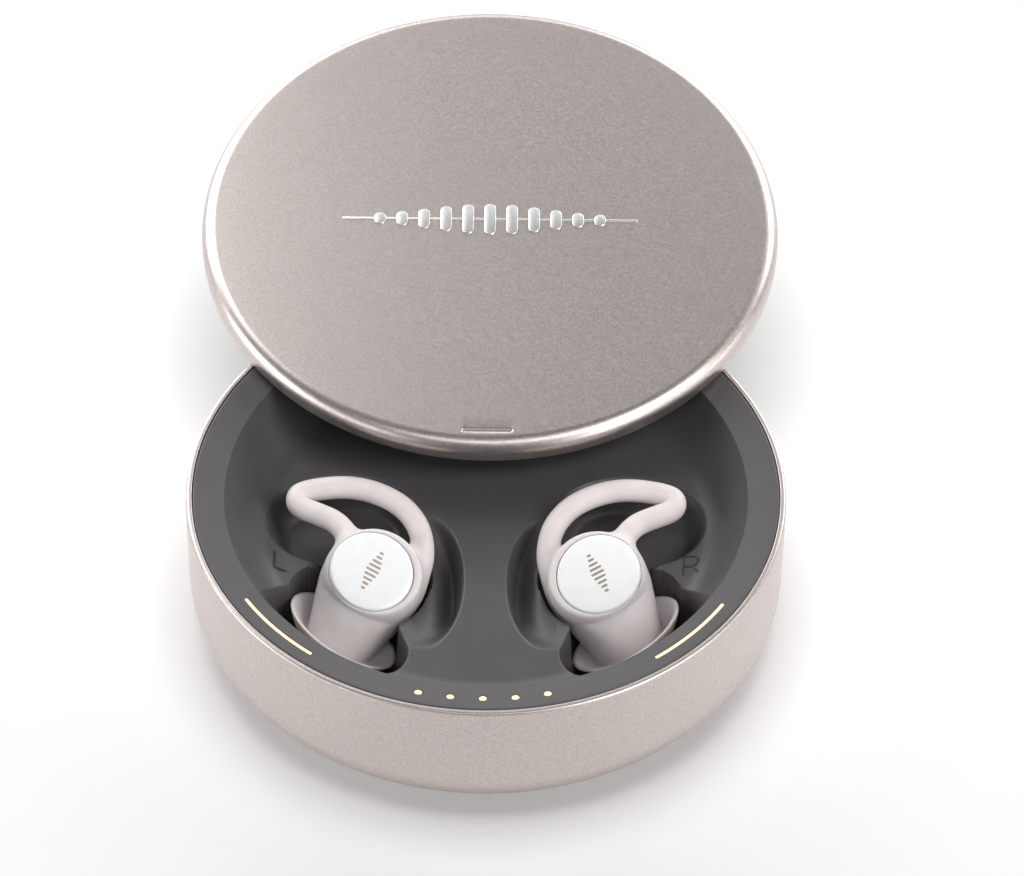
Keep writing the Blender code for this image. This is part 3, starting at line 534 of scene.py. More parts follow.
DARK_SEAL = plain_finish("dark_seal", (0.02,) * 3, (0.03,) * 3, 0.6)


# --------------- the drum


def make_shell():
    """The alloy drum: an upright wall with a bright lip, a rounded lower corner and a port at the rear."""
    corner_x, corner_z = RADIUS - CORNER_R, SHELL_FOOT_Z + CORNER_H
    profile = rounded_path([
        (LIP_R, RIM_Z - 1.7, 0.0), (LIP_R, RIM_Z - 0.02, 0.10), (RADIUS - 0.14, RIM_Z, 0.30),
        (RADIUS, RIM_Z - 0.5, 0.22), (RADIUS, RIM_Z - 3.0, 0.0),
    ])
    profile += ellipse_points(corner_x, corner_z, CORNER_R, CORNER_H, 0, -88, 26)
    profile += [(COVER_R + 0.42, SHELL_FOOT_Z), (COVER_R + 0.26, SHELL_FOOT_Z + 0.06)]
    profile += [(COVER_R + 0.2, SHELL_FOOT_Z + 0.2), (COVER_R + 0.2, SHELL_FOOT_Z + WALL)]
    profile += ellipse_points(corner_x, corner_z, CORNER_R - WALL, CORNER_H - WALL, -88, 0, 12)
    profile += [(RADIUS - WALL, RIM_Z - 1.7)]
    points, faces = turned(profile, 256)
    shell = mesh_piece("drum_shell", points, faces, "base", "anodised_alloy", ["base_shell"], 30)
    carve(shell, *lofted([port_ring(RADIUS - 8.0), port_ring(RADIUS + 2.0)]))
    carve(shell, *lofted([port_ring(RADIUS - 0.42), port_ring(RADIUS + 0.3, flare=0.5)]))
    shade(shell.data, 30)


def port_ring(y, flare=0.0):
    """The round-ended outline of the charging port, a little clear of its socket, at a depth y."""
    low, high = low_of("usb_socket"), high_of("usb_socket")
    half_x = (high.x - low.x) / 2 + PORT_GAP + flare
    half_z = (high.z - low.z) / 2 + PORT_GAP * 0.8 + flare
    middle = (low.z + high.z) / 2
    return [(x, y, middle + z) for x, z in slot_outline(half_x, half_z, 10, 0.02)]


def make_underside():
    """The bottom cover with its bevelled edge, and the rubber foot pad with a moulded ring."""
    low, high = low_of("bottom_cover").z, high_of("bottom_cover").z
    groove = 0.16
    cover = rounded_path([
        (COVER_R - 2.0, high, 0.0), (COVER_R, high, 0.15), (COVER_R, low + 0.3, 0.12),
        (COVER_R - 0.3, low, 0.12), (FOOT_R + 0.35, low, 0.06), (FOOT_R + 0.35, low + groove, 0.06),
        (FOOT_R - 0.5, low + groove, 0.0),
    ], 4)
    points, faces = turned([(0.0, high)] + cover + [(0.0, low + groove)])
    mesh_piece("cover_disc", points, faces, "base", "cover_plastic", ["bottom_cover"])
    top = high_of("foot_pad").z
    foot = rounded_path([
        (FOOT_R - 2.0, top, 0.0), (FOOT_R, top, 0.05), (FOOT_R, 0.0, 0.22), (FOOT_R - 2.4, 0.0, 0.15),
        (FOOT_R - 2.7, groove, 0.15), (FOOT_R - 3.1, groove, 0.15), (FOOT_R - 3.4, 0.0, 0.15),
        (FOOT_R - 6.0, 0.0, 0.0),
    ], 4)
    points, faces = turned([(0.0, top)] + foot + [(0.0, 0.0)])
    mesh_piece("foot_disc", points, faces, "base", "foot_rubber", ["foot_pad"])


# --------------- the tray


def soft_min(a, b, blend):
    """The lower of two heights or distances, rounded where they meet."""
    part = np.clip(0.5 + 0.5 * (b - a) / blend, 0.0, 1.0)
    return b + (a - b) * part - blend * part * (1 - part)


def soft_max(a, b, blend):
    return -soft_min(-a, -b, blend)


def bowl_height(radius):
    """The bowl without its recesses: a level floor, a wall that steepens, and the sloping bezel."""
    part = np.clip((radius - FLOOR_R) / (BOWL_R - FLOOR_R), 0.0, 1.0)
    wall = FLOOR_Z + (BOWL_TOP_Z - FLOOR_Z) * part**BOWL_POWER
    bezel = BOWL_TOP_Z + (BEZEL_OUT_Z - BOWL_TOP_Z) * (radius - BOWL_R) / (BEZEL_R - BOWL_R)
    return np.where(radius > BOWL_R, bezel, wall)


def oval_distance(x, y, cx, cy, half_x, half_y, power):
    """Roughly how far a point lies outside a superellipse, in mm; negative inside."""
    u, v = np.abs(x - cx) / half_x, np.abs(y - cy) / half_y
    size = (u**power + v**power + 1e-9) ** (1 / power)
    reach = np.where(size > 0.05, np.hypot(x - cx, y - cy) / size, min(half_x, half_y))
    return (size - 1) * reach


def hull_distance(x, y, circles):
    """How far a point lies outside the string round three circles; negative inside."""
    px, py, pr = np.array(circles).T
    inside = np.full(x.shape, True)
    nearest = np.full(x.shape, 1e9)
    for i in range(3):
        j = (i + 1) % 3
        ex, ey = px[j] - px[i], py[j] - py[i]
        t = np.clip(((x - px[i]) * ex + (y - py[i]) * ey) / (ex**2 + ey**2), 0, 1)
        away = np.hypot(x - px[i] - ex * t, y - py[i] - ey * t) - (pr[i] + (pr[j] - pr[i]) * t)
        nearest = np.minimum(nearest, away)
        inside &= (ex * (y - py[i]) - ey * (x - px[i])) < 0
    return np.where(inside, -3.0, nearest)


def recess(surface, away, floor, slope, foot, edge):
    """Lowers a surface into a recess with a sloping wall, rounded by foot at its floor, edge at its top."""
    return soft_min(surface, soft_max(np.full(away.shape, floor), FLOOR_Z + slope * away, foot), edge)


def finger_groove(x, y):
    """How deep the groove is that a finger reaches into, round the inner side of an earbud."""
    inward = -oval_distance(x, y, *GROOVE, OVAL_POWER)
    fade = np.clip(1 - ((y - GROOVE[1]) / GROOVE_SPAN) ** 2, 0.0, 1.0) ** 1.2
    fade = fade * np.clip((x - GROOVE_FROM_X) / GROOVE_FADE, 0.0, 1.0)
    step = np.clip(inward / GROOVE_WALL, 0.0, 1.0)
    past = np.maximum(inward - GROOVE_WALL, 0.0) / GROOVE_DIP
    hollow = GROOVE_SHELF + (1 - GROOVE_SHELF) * np.exp(-(past**2))
    return GROOVE_DEPTH * fade * hollow * step**2 * (3 - 2 * step)


def pin_well(x, y):
    """The steep-walled well that the charging contacts stand in, turned in line with them."""
    first, second = CONTACTS
    middle, along = (first + second) / 2, (second - first).xy.normalized()
    x, y = x - middle.x, y - middle.y
    x, y = x * along.x + y * along.y, y * along.x - x * along.y
    away = oval_distance(x, y, 0.0, 0.0, *PIN_WELL, PIN_WELL_POWER)
    return PIN_WELL_FLOOR + PIN_WELL_SLOPE * np.maximum(away, 0.0)


def tray_height(x, y):
    """The tray's top surface, in mm above the rim. Both halves follow the left one."""
    x = -np.abs(x)
    surface = bowl_height(np.hypot(x, y)) - finger_groove(x, y)
    wing_away = oval_distance(x, y, *WING_PIT, OVAL_POWER)
    surface = recess(surface, wing_away, WING_PIT_FLOOR, slope=2.4, foot=1.8, edge=1.3)
    pod_away = np.hypot(x - POD_PIT[0], y - POD_PIT[1]) - POD_PIT[2]
    surface = recess(surface, pod_away, POD_PIT_FLOOR, slope=1.8, foot=0.9, edge=1.6)
    surface = soft_min(surface, pin_well(x, y), 0.15)
    core_away = hull_distance(x, y, CORE_PITS) - CORE_PIT_GROW
    surface = recess(surface, core_away, CORE_PIT_FLOOR, slope=8.0, foot=0.9, edge=0.7)
    return soft_min(surface, IMPRINT.height(x, y), 0.3)


class Imprint:
    """How low the left ear tip reaches at each place in plan, widened all round: the tray stays under it."""

    step, spread, gap = 0.2, 2, 0.3
    low, high = (-30.0, -24.0), (-4.0, 8.0)

    def __init__(self):
        counts = [int((h - l) / self.step) + 1 for l, h in zip(self.low, self.high)]
        self.grid = np.full(counts, 6.0)

    def take(self, points):
        """Presses a mesh's points into the grid."""
        cells = np.rint((points[:, :2] - self.low) / self.step).astype(int)
        np.minimum.at(self.grid, (cells[:, 0], cells[:, 1]), points[:, 2] - self.gap)
        reach = range(-self.spread, self.spread + 1)
        shifts = [(i, j) for i in reach for j in reach if i * i + j * j <= self.spread**2 + 1]
        pressed = self.grid
        self.grid = np.min([np.roll(pressed, shift, (0, 1)) for shift in shifts], axis=0)

    def height(self, x, y):
        u = np.clip((x - self.low[0]) / self.step, 0, self.grid.shape[0] - 1.001)
        v = np.clip((y - self.low[1]) / self.step, 0, self.grid.shape[1] - 1.001)
        i, j = u.astype(int), v.astype(int)
        a, b = u - i, v - j
        near = self.grid[i, j] * (1 - b) + self.grid[i, j + 1] * b
        far = self.grid[i + 1, j] * (1 - b) + self.grid[i + 1, j + 1] * b
        return near * (1 - a) + far * a


IMPRINT = Imprint()


def disc_grid(radii):
    """A square grid bent into rings, with 8 more points on each ring: their x, y and ring numbers."""
    count = len(radii) - 1
    a, b = np.meshgrid(np.arange(-count, count + 1), np.arange(-count, count + 1), indexing="ij")
    ring = np.maximum(np.abs(a), np.abs(b))
    with np.errstate(divide="ignore", invalid="ignore"):
        wide = np.abs(a) >= np.abs(b)
        angle = np.where(wide, np.pi / 4 * b / a, np.pi / 2 - np.pi / 4 * a / b)
    angle = np.where(np.where(wide, a, b) < 0, angle + np.pi, angle)
    angle = np.nan_to_num(angle)
    radius = np.array(radii)[ring]
    return radius * np.cos(angle), radius * np.sin(angle), ring


def make_tray():
    """The tray: a fine surface with bezel, bowl and recesses, closed by an underside and an edge."""
    inner = list(np.linspace(0.0, BOWL_R - 0.3, 226))
    crease = list(np.linspace(BOWL_R - 0.15, BOWL_R + 0.15, 3))
    bezel = list(np.linspace(BOWL_R + 0.45, BEZEL_R - 0.5, 10))
    soft, turns = 0.22, np.linspace(0, math.pi / 2, 5)
    edge = [(BEZEL_R - soft + soft * math.sin(a), soft * (1 - math.cos(a))) for a in turns]
    radii = inner + crease + bezel + [r for r, _ in edge] + [BEZEL_R]
    x, y, ring = disc_grid(radii)
    drop = np.zeros(len(radii))
    drop[-6:-1] = [d for _, d in edge]
    top = tray_height(x, y) - drop[ring]
    last = len(radii) - 1
    top[ring == last] = -BEZEL_T + 0.4
    under = np.minimum(top - TRAY_T, -BEZEL_T)
    count = x.shape[0]
    index = np.arange(count * count).reshape(count, count)
    quads = np.stack([index[:-1, :-1], index[1:, :-1], index[1:, 1:], index[:-1, 1:]], axis=-1).reshape(-1, 4)
    rim = np.concatenate([index[0, :-1], index[:-1, -1], index[-1, :0:-1], index[:0:-1, 0]])
    total = count * count
    skirt = np.stack([rim, np.roll(rim, -1), np.roll(rim, -1) + total, rim + total], axis=-1)
    points = np.concatenate(
        [
            np.stack([x.ravel(), y.ravel(), top.ravel() + RIM_Z], axis=-1),
            np.stack([x.ravel(), y.ravel(), under.ravel() + RIM_Z], axis=-1),
        ]
    )
    faces = np.concatenate([quads, quads[:, ::-1] + total, skirt])
    mesh = bpy.data.meshes.new("tray_surface")
    mesh.vertices.add(len(points))
    mesh.vertices.foreach_set("co", (points * MM).astype(np.float32).ravel())
    mesh.loops.add(faces.size)
    mesh.loops.foreach_set("vertex_index", faces.astype(np.int32).ravel())
    mesh.polygons.add(len(faces))
    mesh.polygons.foreach_set("loop_start", np.arange(0, faces.size, 4, dtype=np.int32))
    mesh.update(calc_edges=True)
    finish_piece("tray_surface", mesh, "base", "tray_plastic", ["tray"], 50)


def surface_stroke(line, half, sink):
    """A thin flat-topped line of paint laid on the tray along plan points."""
    path = spline([(x, y, 0.0) for x, y in line], 5) if len(line) > 2 else np.array([(*p, 0.0) for p in line])
    rings = []
    for i, (x, y, _) in enumerate(path):
        before, after = path[max(i - 1, 0)], path[min(i + 1, len(path) - 1)]
        along = (after - before)[:2] / np.linalg.norm((after - before)[:2])
        across = np.array((-along[1], along[0]))
        ring = []
        for angle in np.linspace(0, math.tau, 9)[:-1]:
            px, py = x + across[0] * half * math.cos(angle), y + across[1] * half * math.cos(angle)
            z = float(tray_height(np.array([px]), np.array([py]))[0])
            ring.append((px, py, RIM_Z + z + sink * math.sin(angle)))
        rings.append(ring)
    return lofted(rings)


def make_side_marks():
    """Plain side letters, L and R, in thin dark strokes on the bowl's wall beside each earbud."""
    left = [[(-26.8, -5.2), (-26.7, -8.0)], [(-26.7, -8.0), (-25.1, -8.6)]]
    right = [
        [(24.95, -8.5), (25.15, -5.4)],
        [(25.15, -5.4), (26.3, -5.25), (26.95, -5.75), (26.75, -6.55), (26.1, -6.95), (25.05, -7.05)],
        [(26.1, -6.95), (26.9, -8.2)],
    ]
    for word, strokes in (("left", left), ("right", right)):
        points, faces = merged(surface_stroke(stroke, 0.19, 0.04) for stroke in strokes)
        mesh_piece(f"{word}_side_letter", points, faces, "base", "tray_plastic", material=DARK_PRINT)


def bezel_height(radius):
    return RIM_Z + float(bowl_height(np.array(radius)))


def make_lights():
    """The lit ends of the light pipes: five domed dots and two arcs, each in a thin dark seal."""
    top = bezel_height(LIGHT_R)
    low = low_of("battery_light_3").z
    foot, head = top - 0.1, top + 0.012
    seals = []
    for number in range(1, 6):
        x, y = polar(LIGHT_R, (number - 3) * DOT_STEP)
        profile = [(0.0, top + 0.05), (0.2, top + 0.045), (0.38, top + 0.025), (0.5, top - 0.01)]
        profile += [(DOT_R, top - 0.08), (DOT_R, low), (0.0, low)]
        points, faces = turned(profile, 40)
        placed, node = moved(points, x, y), f"battery_light_{number}"
        mesh_piece(f"battery_dot_{number}", placed, faces, "base", "light_pipe", [node])
        inner, outer = DOT_R + SEAL_IN, DOT_R + SEAL_OUT
        points, faces = turned([(inner, foot), (inner, head), (outer, head), (outer, foot)], 40)
        seals.append((moved(points, x, y), faces))
    for side, word in SIDES:
        points, faces = prism(arc_outline(0.0), low, top + 0.05, 0.12)
        placed, node = mirrored(points, -side), f"{word}_charge_light"
        mesh_piece(f"{word}_light_arc", placed, faces, "base", "light_pipe", [node])
        outer, inner = arc_outline(SEAL_OUT), arc_outline(SEAL_IN)
        rings = ((inner, foot), (inner, head), (outer, head), (outer, foot))
        points, faces = lofted([[(x, y, z) for x, y in outline] for outline, z in rings], closed=True)
        seals.append((mirrored(points, -side), faces))
    points, faces = merged(seals)
    mesh_piece("light_seals", points, faces, "base", "tray_plastic", material=DARK_SEAL)


def arc_outline(grow, steps=36):
    """The outline of an arc light on the right: a curved bar with round ends."""
    half = ARC_HALF + grow
    outline = []
    for start, end, out, turn in ((ARC_FROM, ARC_TO, half, 0.0), (ARC_TO, ARC_FROM, -half, math.pi)):
        outline += [polar(LIGHT_R + out, start + (end - start) * i / steps) for i in range(steps + 1)]
        cx, cy = polar(LIGHT_R, end)
        for i in range(1, 8):
            angle = math.atan2(cy, cx) + turn + math.pi * i / 8
            outline.append((cx + half * math.cos(angle), cy + half * math.sin(angle)))
    return outline


# --------------- the lid


def lid_piece(name, points, faces, slot, replaces, sharp=35):
    return mesh_piece(name, opened(points), faces, "lid", slot, replaces, sharp)


def make_lid():
    """The lid's shell with its soft edge, the finger mark, and the liner underneath."""
    inner = RADIUS - LID_LIP_T
    outline = rounded_path([
        (33.0, LID_TOP, 0.0), (RADIUS, LID_TOP, 1.9), (RADIUS, LID_LOW, 0.5), (inner, LID_LOW, 0.15),
        (inner, LID_TOP - LID_TOP_T, 0.3), (30.0, LID_TOP - LID_TOP_T, 0.0),
    ], 9)
    flat = [(r, LID_TOP) for r in (0.0, 12.0, 24.0)]
    points, faces = turned(flat + outline + [(0.0, LID_TOP - LID_TOP_T)], 256)
    shell = lid_piece("lid_disc", points, faces, "anodised_alloy", ["lid_shell"], 30)
    rings = []
    for grow, z in FINGER_RINGS:
        rings.append([(x, FINGER_Y + y, z) for x, y in slot_outline(FINGER_X + grow, FINGER_W + grow)])
    points, faces = lofted(rings)
    carve(shell, opened(points), faces)
    shade(shell.data, 30)
    normals = shell.modifiers.new("normals", "WEIGHTED_NORMAL")
    normals.keep_sharp = True
    apply_modifiers(shell)
    liner_top = LID_TOP - LID_TOP_T - 0.05
    liner = rounded_path([
        (30.0, liner_top, 0.0), (inner - 0.3, liner_top, 0.08),
        (inner - 0.3, liner_top - LINING_T, 0.2), (inner - 3.0, liner_top - LINING_T, 0.0),
    ], 4)
    points, faces = turned([(0.0, liner_top)] + liner + [(0.0, liner_top - LINING_T)])
    lid_piece("lid_lining", points, faces, "tray_plastic", ["lid_liner"])


def slot_outline(half_x, half_y, steps=8, flat=0.005):
    """A round-ended outline round the origin."""
    corners = [(half_x, half_y), (-half_x, half_y), (-half_x, -half_y), (half_x, -half_y)]
    return rounded_path([(*corner, half_y - flat) for corner in corners], steps)


def bar_row(count, pitch, width, tallest, least, steps):
    """The upright bars of a mark: the place and outline of each."""
    for i in range(count):
        place = i - (count - 1) / 2
        height = tallest * (least + (1 - least) * math.cos(place / count * math.pi) ** 2)
        outline = slot_outline(height / 2, width / 2, steps)
        yield place * pitch, [(place * pitch - y, x) for x, y in outline]


def make_mark():
    """The mark on the lid: a row of upright bars on a thin line, as on a level meter."""
    low, high = LID_TOP - 0.05, LID_TOP + 0.14
    row = bar_row(count=11, pitch=2.9, width=1.5, tallest=5.2, least=0.34, steps=8)
    bars = [prism(outline, low, high, 0.05) for _, outline in row]
    bars.append(prism(slot_outline(high_of("lid_mark").x, 0.18), low, high - 0.05, 0.03))
    points, faces = merged(bars)
    lid_piece("lid_bar_mark", points, faces, "polished_mark", ["lid_mark"])


def path_height(y):
    return PATH_R - math.sqrt(PATH_R**2 - y**2)


def along_path(x, y_from, y_to, steps, section):
    """A solid swept along the lid's curved path. A section point is (across, height, follows the curve)."""
    rings = []
    for i in range(steps + 1):
        y = y_from + (y_to - y_from) * i / steps
        rise = path_height(y)
        rings.append([(x + a, y, RIM_Z + h + (rise if curved else 0.0)) for a, h, curved in section])
    return lofted(rings)


def make_guides():
    """The lid's two channelled rails, and the shoes that run in them."""
    roof, floor, lip = 0.3, -0.6, 0.5
    half, channel, slit = 3.1, 2.3, 1.2
    rail_top = LID_T + LID_GAP - LID_TOP_T - 0.7
    for side, word in SIDES:
        x = side * (high_of("right_lid_rail").x + low_of("right_lid_rail").x) / 2
        blank = [(-half, rail_top, False), (half, rail_top, False), (half, floor - lip + 0.15, True)]
        blank += [(half - 0.15, floor - lip, True), (-half + 0.15, floor - lip, True)]
        blank += [(-half, floor - lip + 0.15, True)]
        points, faces = along_path(x, *RAIL_ENDS, 48, blank)
        rail = lid_piece(f"{word}_rail", points, faces, "acetal", [f"{word}_lid_rail"], 25)
        hollow = [(-channel, roof, True), (channel, roof, True), (channel, floor, True), (slit, floor, True)]
        hollow += [(slit, floor - lip - 1, True), (-slit, floor - lip - 1, True)]
        hollow += [(-slit, floor, True), (-channel, floor, True)]
        points, faces = along_path(x, *CHANNEL_ENDS, 48, hollow)
        carve(rail, opened(points), faces)
        rail.data.set_sharp_from_angle(angle=math.radians(25))
        head, neck = channel - 0.3, slit - 0.3
        shoe = [(-head + 0.12, roof - 0.1, True), (head - 0.12, roof - 0.1, True), (head, roof - 0.22, True)]
        shoe += [(head, floor + 0.1, True), (neck, floor + 0.1, True)]
        shoe += [(neck, -2.0, False), (-neck, -2.0, False)]
        shoe += [(-neck, floor + 0.1, True), (-head, floor + 0.1, True), (-head, roof - 0.22, True)]
        near, far = low_of("left_guide_shoe").y, high_of("left_guide_shoe").y
        points, faces = along_path(x, near, far, 20, shoe)
        mesh_piece(f"{word}_shoe", points, faces, "base", "acetal", [f"{word}_guide_shoe"], 25)


# --------------- the earbuds


class Field:
    """A distance field on a grid round the left ear tip, in mm from the rim plane's centre."""

    def __init__(self, low, high, step):
        self.low, self.step = np.array(low, float), step
        counts = np.ceil((np.array(high) - self.low) / step).astype(int) + 1
        self.axes = [self.low[i] + step * np.arange(counts[i]) for i in range(3)]
        self.points = np.meshgrid(*self.axes, indexing="ij", sparse=True)

    def height(self, at, up):
        """The distance of each grid point above a plane."""
        return sum((self.points[i] - at[i]) * up[i] for i in range(3))

    def rod(self, at, up, low, high, radius, blend=0.1):
        """A round rod along up, from one height to another."""
        height = self.height(at, up)
        square = sum((self.points[i] - at[i]) ** 2 for i in range(3)) - height**2
        side = np.sqrt(np.maximum(square, 0.0)) - radius
        return soft_max(side, np.maximum(height - high, low - height), blend)

    def tube(self, line, radii, reach=2.4, far=3.0):
        """A tube through a line of points, worked out only near each of its steps."""
        field = np.full([len(axis) for axis in self.axes], far, np.float32)
        for a, b, ra, rb in zip(line, line[1:], radii, radii[1:]):
            margin = max(ra, rb) + reach
            low = np.floor((np.minimum(a, b) - margin - self.low) / self.step).astype(int)
            high = np.ceil((np.maximum(a, b) + margin - self.low) / self.step).astype(int)
            window = tuple(slice(max(l, 0), max(h, 0)) for l, h in zip(low, high))
            axes = [axis[part] - start for axis, part, start in zip(self.axes, window, a)]
            from_a = np.meshgrid(*axes, indexing="ij", sparse=True)
            along = b - a
            t = np.clip(sum(offset * step for offset, step in zip(from_a, along)) / (along @ along), 0.0, 1.0)
            away = np.sqrt(sum((offset - step * t) ** 2 for offset, step in zip(from_a, along)))
            field[window] = np.minimum(field[window], away - (ra + (rb - ra) * t))
        return field

    def surface(self, field):
        """Points and faces of the surface where the field is zero."""
        grid = openvdb.FloatGrid(float(field.max()))
        grid.copyFromArray(np.ascontiguousarray(field, np.float32))
        points, quads = grid.convertToQuads(isovalue=0.0)
        return points * self.step + self.low, quads[:, ::-1]


def bezier(points, t):
    a, b, c, d = points
    s = 1 - t
    return a * s**3 + b * (3 * s * s * t) + c * (3 * s * t * t) + d * t**3


def pod_line():
    """The sleeve's bent middle line, from the round shoulder under the cap to the cup, and its radii."""
    start = CAP_AT - CAP_UP * POD_DROP + Vector((POD_SHIFT, 0.0, 0.0))
    end = CUP_AT - SPOUT_UP * 3.2 + Vector((0.35, 0.0, 0.0))
    line = (start, start - CAP_UP * 3.0, end + SPOUT_UP * 3.4, end)
    places = np.linspace(0.0, 1.0, 33)
    radii = np.interp(places, (0, 0.2, 0.4, 0.6, 0.8, 1), (POD_R, 6.4, 5.95, 5.25, 4.5, 3.9))
    return np.array([bezier(line, t) for t in places]), radii


def cup_field(field):
    """The soft cup: a thin oval dome, open towards the pod, with a rounded rim."""
    up = CUP_UP
    side = up.cross(CUP_LONG).normalized()
    along = side.cross(up).normalized()
    height = field.height(CUP_AT, up)
    a = field.height(CUP_AT, along) / CUP_RX
    b = field.height(CUP_AT, side) / CUP_RY
    spread = np.sqrt(a**2 + b**2)
    mean_r = (CUP_RX + CUP_RY) / 2
    dome = -CUP_DEPTH * np.maximum(1 - spread**2.6, -1.5)
    slope = CUP_DEPTH * 2.6 * np.minimum(spread, 1.2) ** 1.6 / mean_r
    thickness = 0.24 + 0.35 * np.clip(1 - spread, 0, 1)
    inward = 0.30
    wall = np.abs((height - dome) / np.sqrt(1 + slope**2) - inward) - thickness
    return soft_max(wall, height + 0.02, 0.22)


def make_ear_tip():
    """The silicone sleeve in one smooth skin: pod, wing and cup, hollow for the earbud's hard body."""
    lift = Vector((0.0, 0.0, RIM_Z))
    low, high = low_of("left_ear_tip") - lift, high_of("left_ear_tip") - lift
    margin = Vector((0.6, 0.6, 0.6))
    field = Field(low - margin, high + margin, VOXEL)
    line, radii = pod_line()
    body = field.tube(line, radii)
    body = soft_max(body, field.height(CAP_AT + CAP_UP * 0.03, CAP_UP), 0.3)
    wing = spline(WING_LINE, 5)
    body = soft_min(body, field.tube(wing, np.full(len(wing), WING_R)), 1.3)
    body = soft_min(body, cup_field(field), 0.7)
    hollows = (
        field.rod(CAP_AT, CAP_UP, -1.1, 3.0, CAP_R + 0.03),
        field.rod(CAP_AT, CAP_UP, -3.9, -1.0, 5.0),
        field.rod(CUP_AT, SPOUT_UP, -1.0, 4.2, 2.6),
        field.rod(CUP_AT, SPOUT_UP, -5.0, -0.9, 1.85),
    )
    for hollow in hollows:
        body = soft_max(body, -hollow, 0.12)
    for spot in CONTACTS:
        body = soft_max(body, -field.rod(spot, Vector((0, 0, 1)), -6.0, 0.6, 0.9), 0.1)
    points, faces = field.surface(body)
    IMPRINT.take(points)
    for side, word in SIDES:
        placed = mirrored(moved(points, z=RIM_Z), side)
        body = f"{word}_earbud"
        tip = mesh_piece(f"{word}_sleeve", placed, faces, body, "silicone", [f"{word}_ear_tip"], 60)
        smooth = tip.modifiers.new("smooth", "SMOOTH")
        smooth.factor = 0.5
        smooth.iterations = 3
        apply_modifiers(tip)
        tip.data.shade_smooth()


def plane_axes(up, along):
    side = up.cross(along).normalized()
    return side.cross(up).normalized(), side


def on_cap(points):
    """Points drawn on a level cap, x along the mark, moved to the left earbud's cap."""
    along, side = plane_axes(CAP_UP, MARK_ALONG)
    axes = np.array([along, side, CAP_UP])
    return np.asarray(points, float) @ axes + np.array(CAP_AT) + (0.0, 0.0, RIM_Z)


def crown_height(radius):
    """The cap's slightly domed top, above its joint with the pod."""
    return 0.30 - 0.0066 * radius**2


def make_caps():
    """The white caps, each with a soft edge and a small bronze bar mark."""
    crown = [(r, crown_height(r)) for r in (0.0, 1.2, 2.4, 3.4, 4.2)]
    corners = [(4.6, 0.16, 0.0), (CAP_R - 0.16, 0.09, 0.28), (CAP_R, -0.5, 0.3), (CAP_R, -0.95, 0.1)]
    edge = rounded_path(corners, 5)
    edge = [p for p in edge if p[0] > 4.3]
    points, faces = turned(crown + edge + [(0.0, -0.95)], 128)
    row = bar_row(count=9, pitch=0.66, width=0.30, tallest=1.75, least=0.3, steps=4)
    bars = [prism(outline, crown_height(place) - 0.05, crown_height(place) + 0.012) for place, outline in row]
    bar_points, bar_faces = merged(bars)
    for side, word in SIDES:
        placed = mirrored(on_cap(points), side)
        body = f"{word}_earbud"
        mesh_piece(f"{word}_cap", placed, faces, body, "cap_white", [f"{word}_bud_cap"])
        placed = mirrored(on_cap(bar_points), side)
        mesh_piece(f"{word}_cap_mark", placed, bar_faces, body, "brass", material=BRONZE_PRINT)


# --------------- what stays from the frame


def finish_carried_nodes():
    """Gives each CAD node that still shows its procedural finish."""
    slots = {part["node"]: part["material_slot"] for part in frame["record"]["subparts"]}
    for name, node in frame["nodes"].items():
        node.data.materials.clear()
        node.data.materials.append(MATERIALS[slots[name]])


# --------------- studio


def make_floor():
    """A large pale floor."""
    mesh = bpy.data.meshes.new("floor")
    form = bmesh.new()
    bmesh.ops.create_circle(form, cap_ends=True, segments=96, radius=6.0)
    form.to_mesh(mesh)
    form.free()
    floor = add_object("floor", mesh)
    paper = plain_finish("studio_paper", (0.90,) * 3, (0.92,) * 3, 0.9, grain=2.0, depth=0.001, patch=60)
    shader = paper.node_tree.nodes["Principled BSDF"]
    shader.inputs["Emission Color"].default_value = (1.0, 1.0, 1.0, 1.0)
    shader.inputs["Emission Strength"].default_value = 0.25
    mesh.materials.append(paper)
    return floor


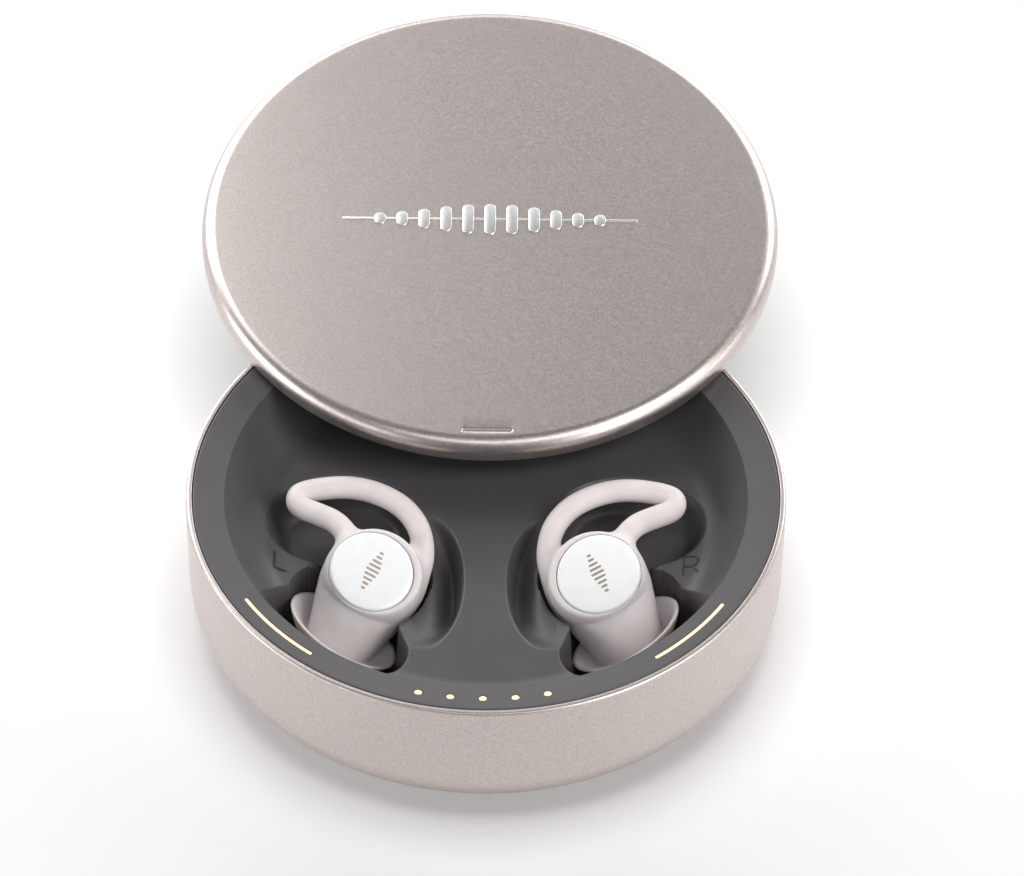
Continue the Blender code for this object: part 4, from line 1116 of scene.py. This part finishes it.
def add_light(name, azimuth, elevation, distance, size_x, size_y, radiance, pieces, state):
    """A soft panel aimed at the object, unseen by the camera. It lights some pieces, or all but those."""
    a, e = math.radians(azimuth), math.radians(elevation)
    data = bpy.data.lights.new(name, "AREA")
    data.shape = "RECTANGLE"
    data.size, data.size_y = size_x, size_y
    data.energy = radiance * math.pi * size_x * size_y
    light = add_object(name, data)
    toward = Vector((math.cos(e) * math.sin(a), -math.cos(e) * math.cos(a), math.sin(e)))
    light.location = MIDDLE + distance * toward
    light.rotation_mode = "QUATERNION"
    light.rotation_quaternion = toward.to_track_quat("Z", "Y")
    light.visible_camera = False
    receivers = bpy.data.collections.new(name + "_receivers")
    for piece in pieces:
        receivers.objects.link(piece)
    for member in receivers.collection_objects:
        member.light_linking.link_state = state
    light.light_linking.receiver_collection = receivers


def make_studio(floor):
    """Soft panels all round the object, a separate even light for the floor, and a dim surround."""
    world = bpy.data.worlds.new("studio")
    bpy.context.scene.world = world
    world.use_nodes = True
    background = world.node_tree.nodes["Background"]
    background.inputs["Color"].default_value = (1.0, 1.0, 1.0, 1.0)
    background.inputs["Strength"].default_value = 0.05
    sleeves = [bpy.data.objects[f"{word}_sleeve"] for _, word in SIDES]
    for light in OBJECT_LIGHTS:
        add_light(*light, [floor], "EXCLUDE")
    for light in FLOOR_LIGHTS:
        add_light(*light, [floor], "INCLUDE")
    for light in SLEEVE_LIGHTS:
        add_light(*light, sleeves, "INCLUDE")
    bpy.context.scene.view_settings.view_transform = "Standard"


def make_camera():
    """The camera stands in front and above, with a long lens."""
    data = bpy.data.cameras.new("camera")
    data.lens = CAMERA_LENS
    data.sensor_width = 36.0
    data.clip_start, data.clip_end = 0.01, 20.0
    camera = add_object("camera", data)
    turn = Matrix.Rotation(math.pi / 2 - CAMERA_ELEVATION, 4, "X")
    spin = Matrix.Rotation(CAMERA_ROLL, 4, "Z")
    camera.matrix_world = Matrix.Translation(CAMERA_AT) @ turn @ spin
    bpy.context.scene.camera = camera


# --------------- the scene

finish_carried_nodes()
make_shell()
make_underside()
make_ear_tip()
make_tray()
make_side_marks()
make_lights()
make_lid()
make_mark()
make_guides()
make_caps()
make_studio(make_floor())
make_camera()
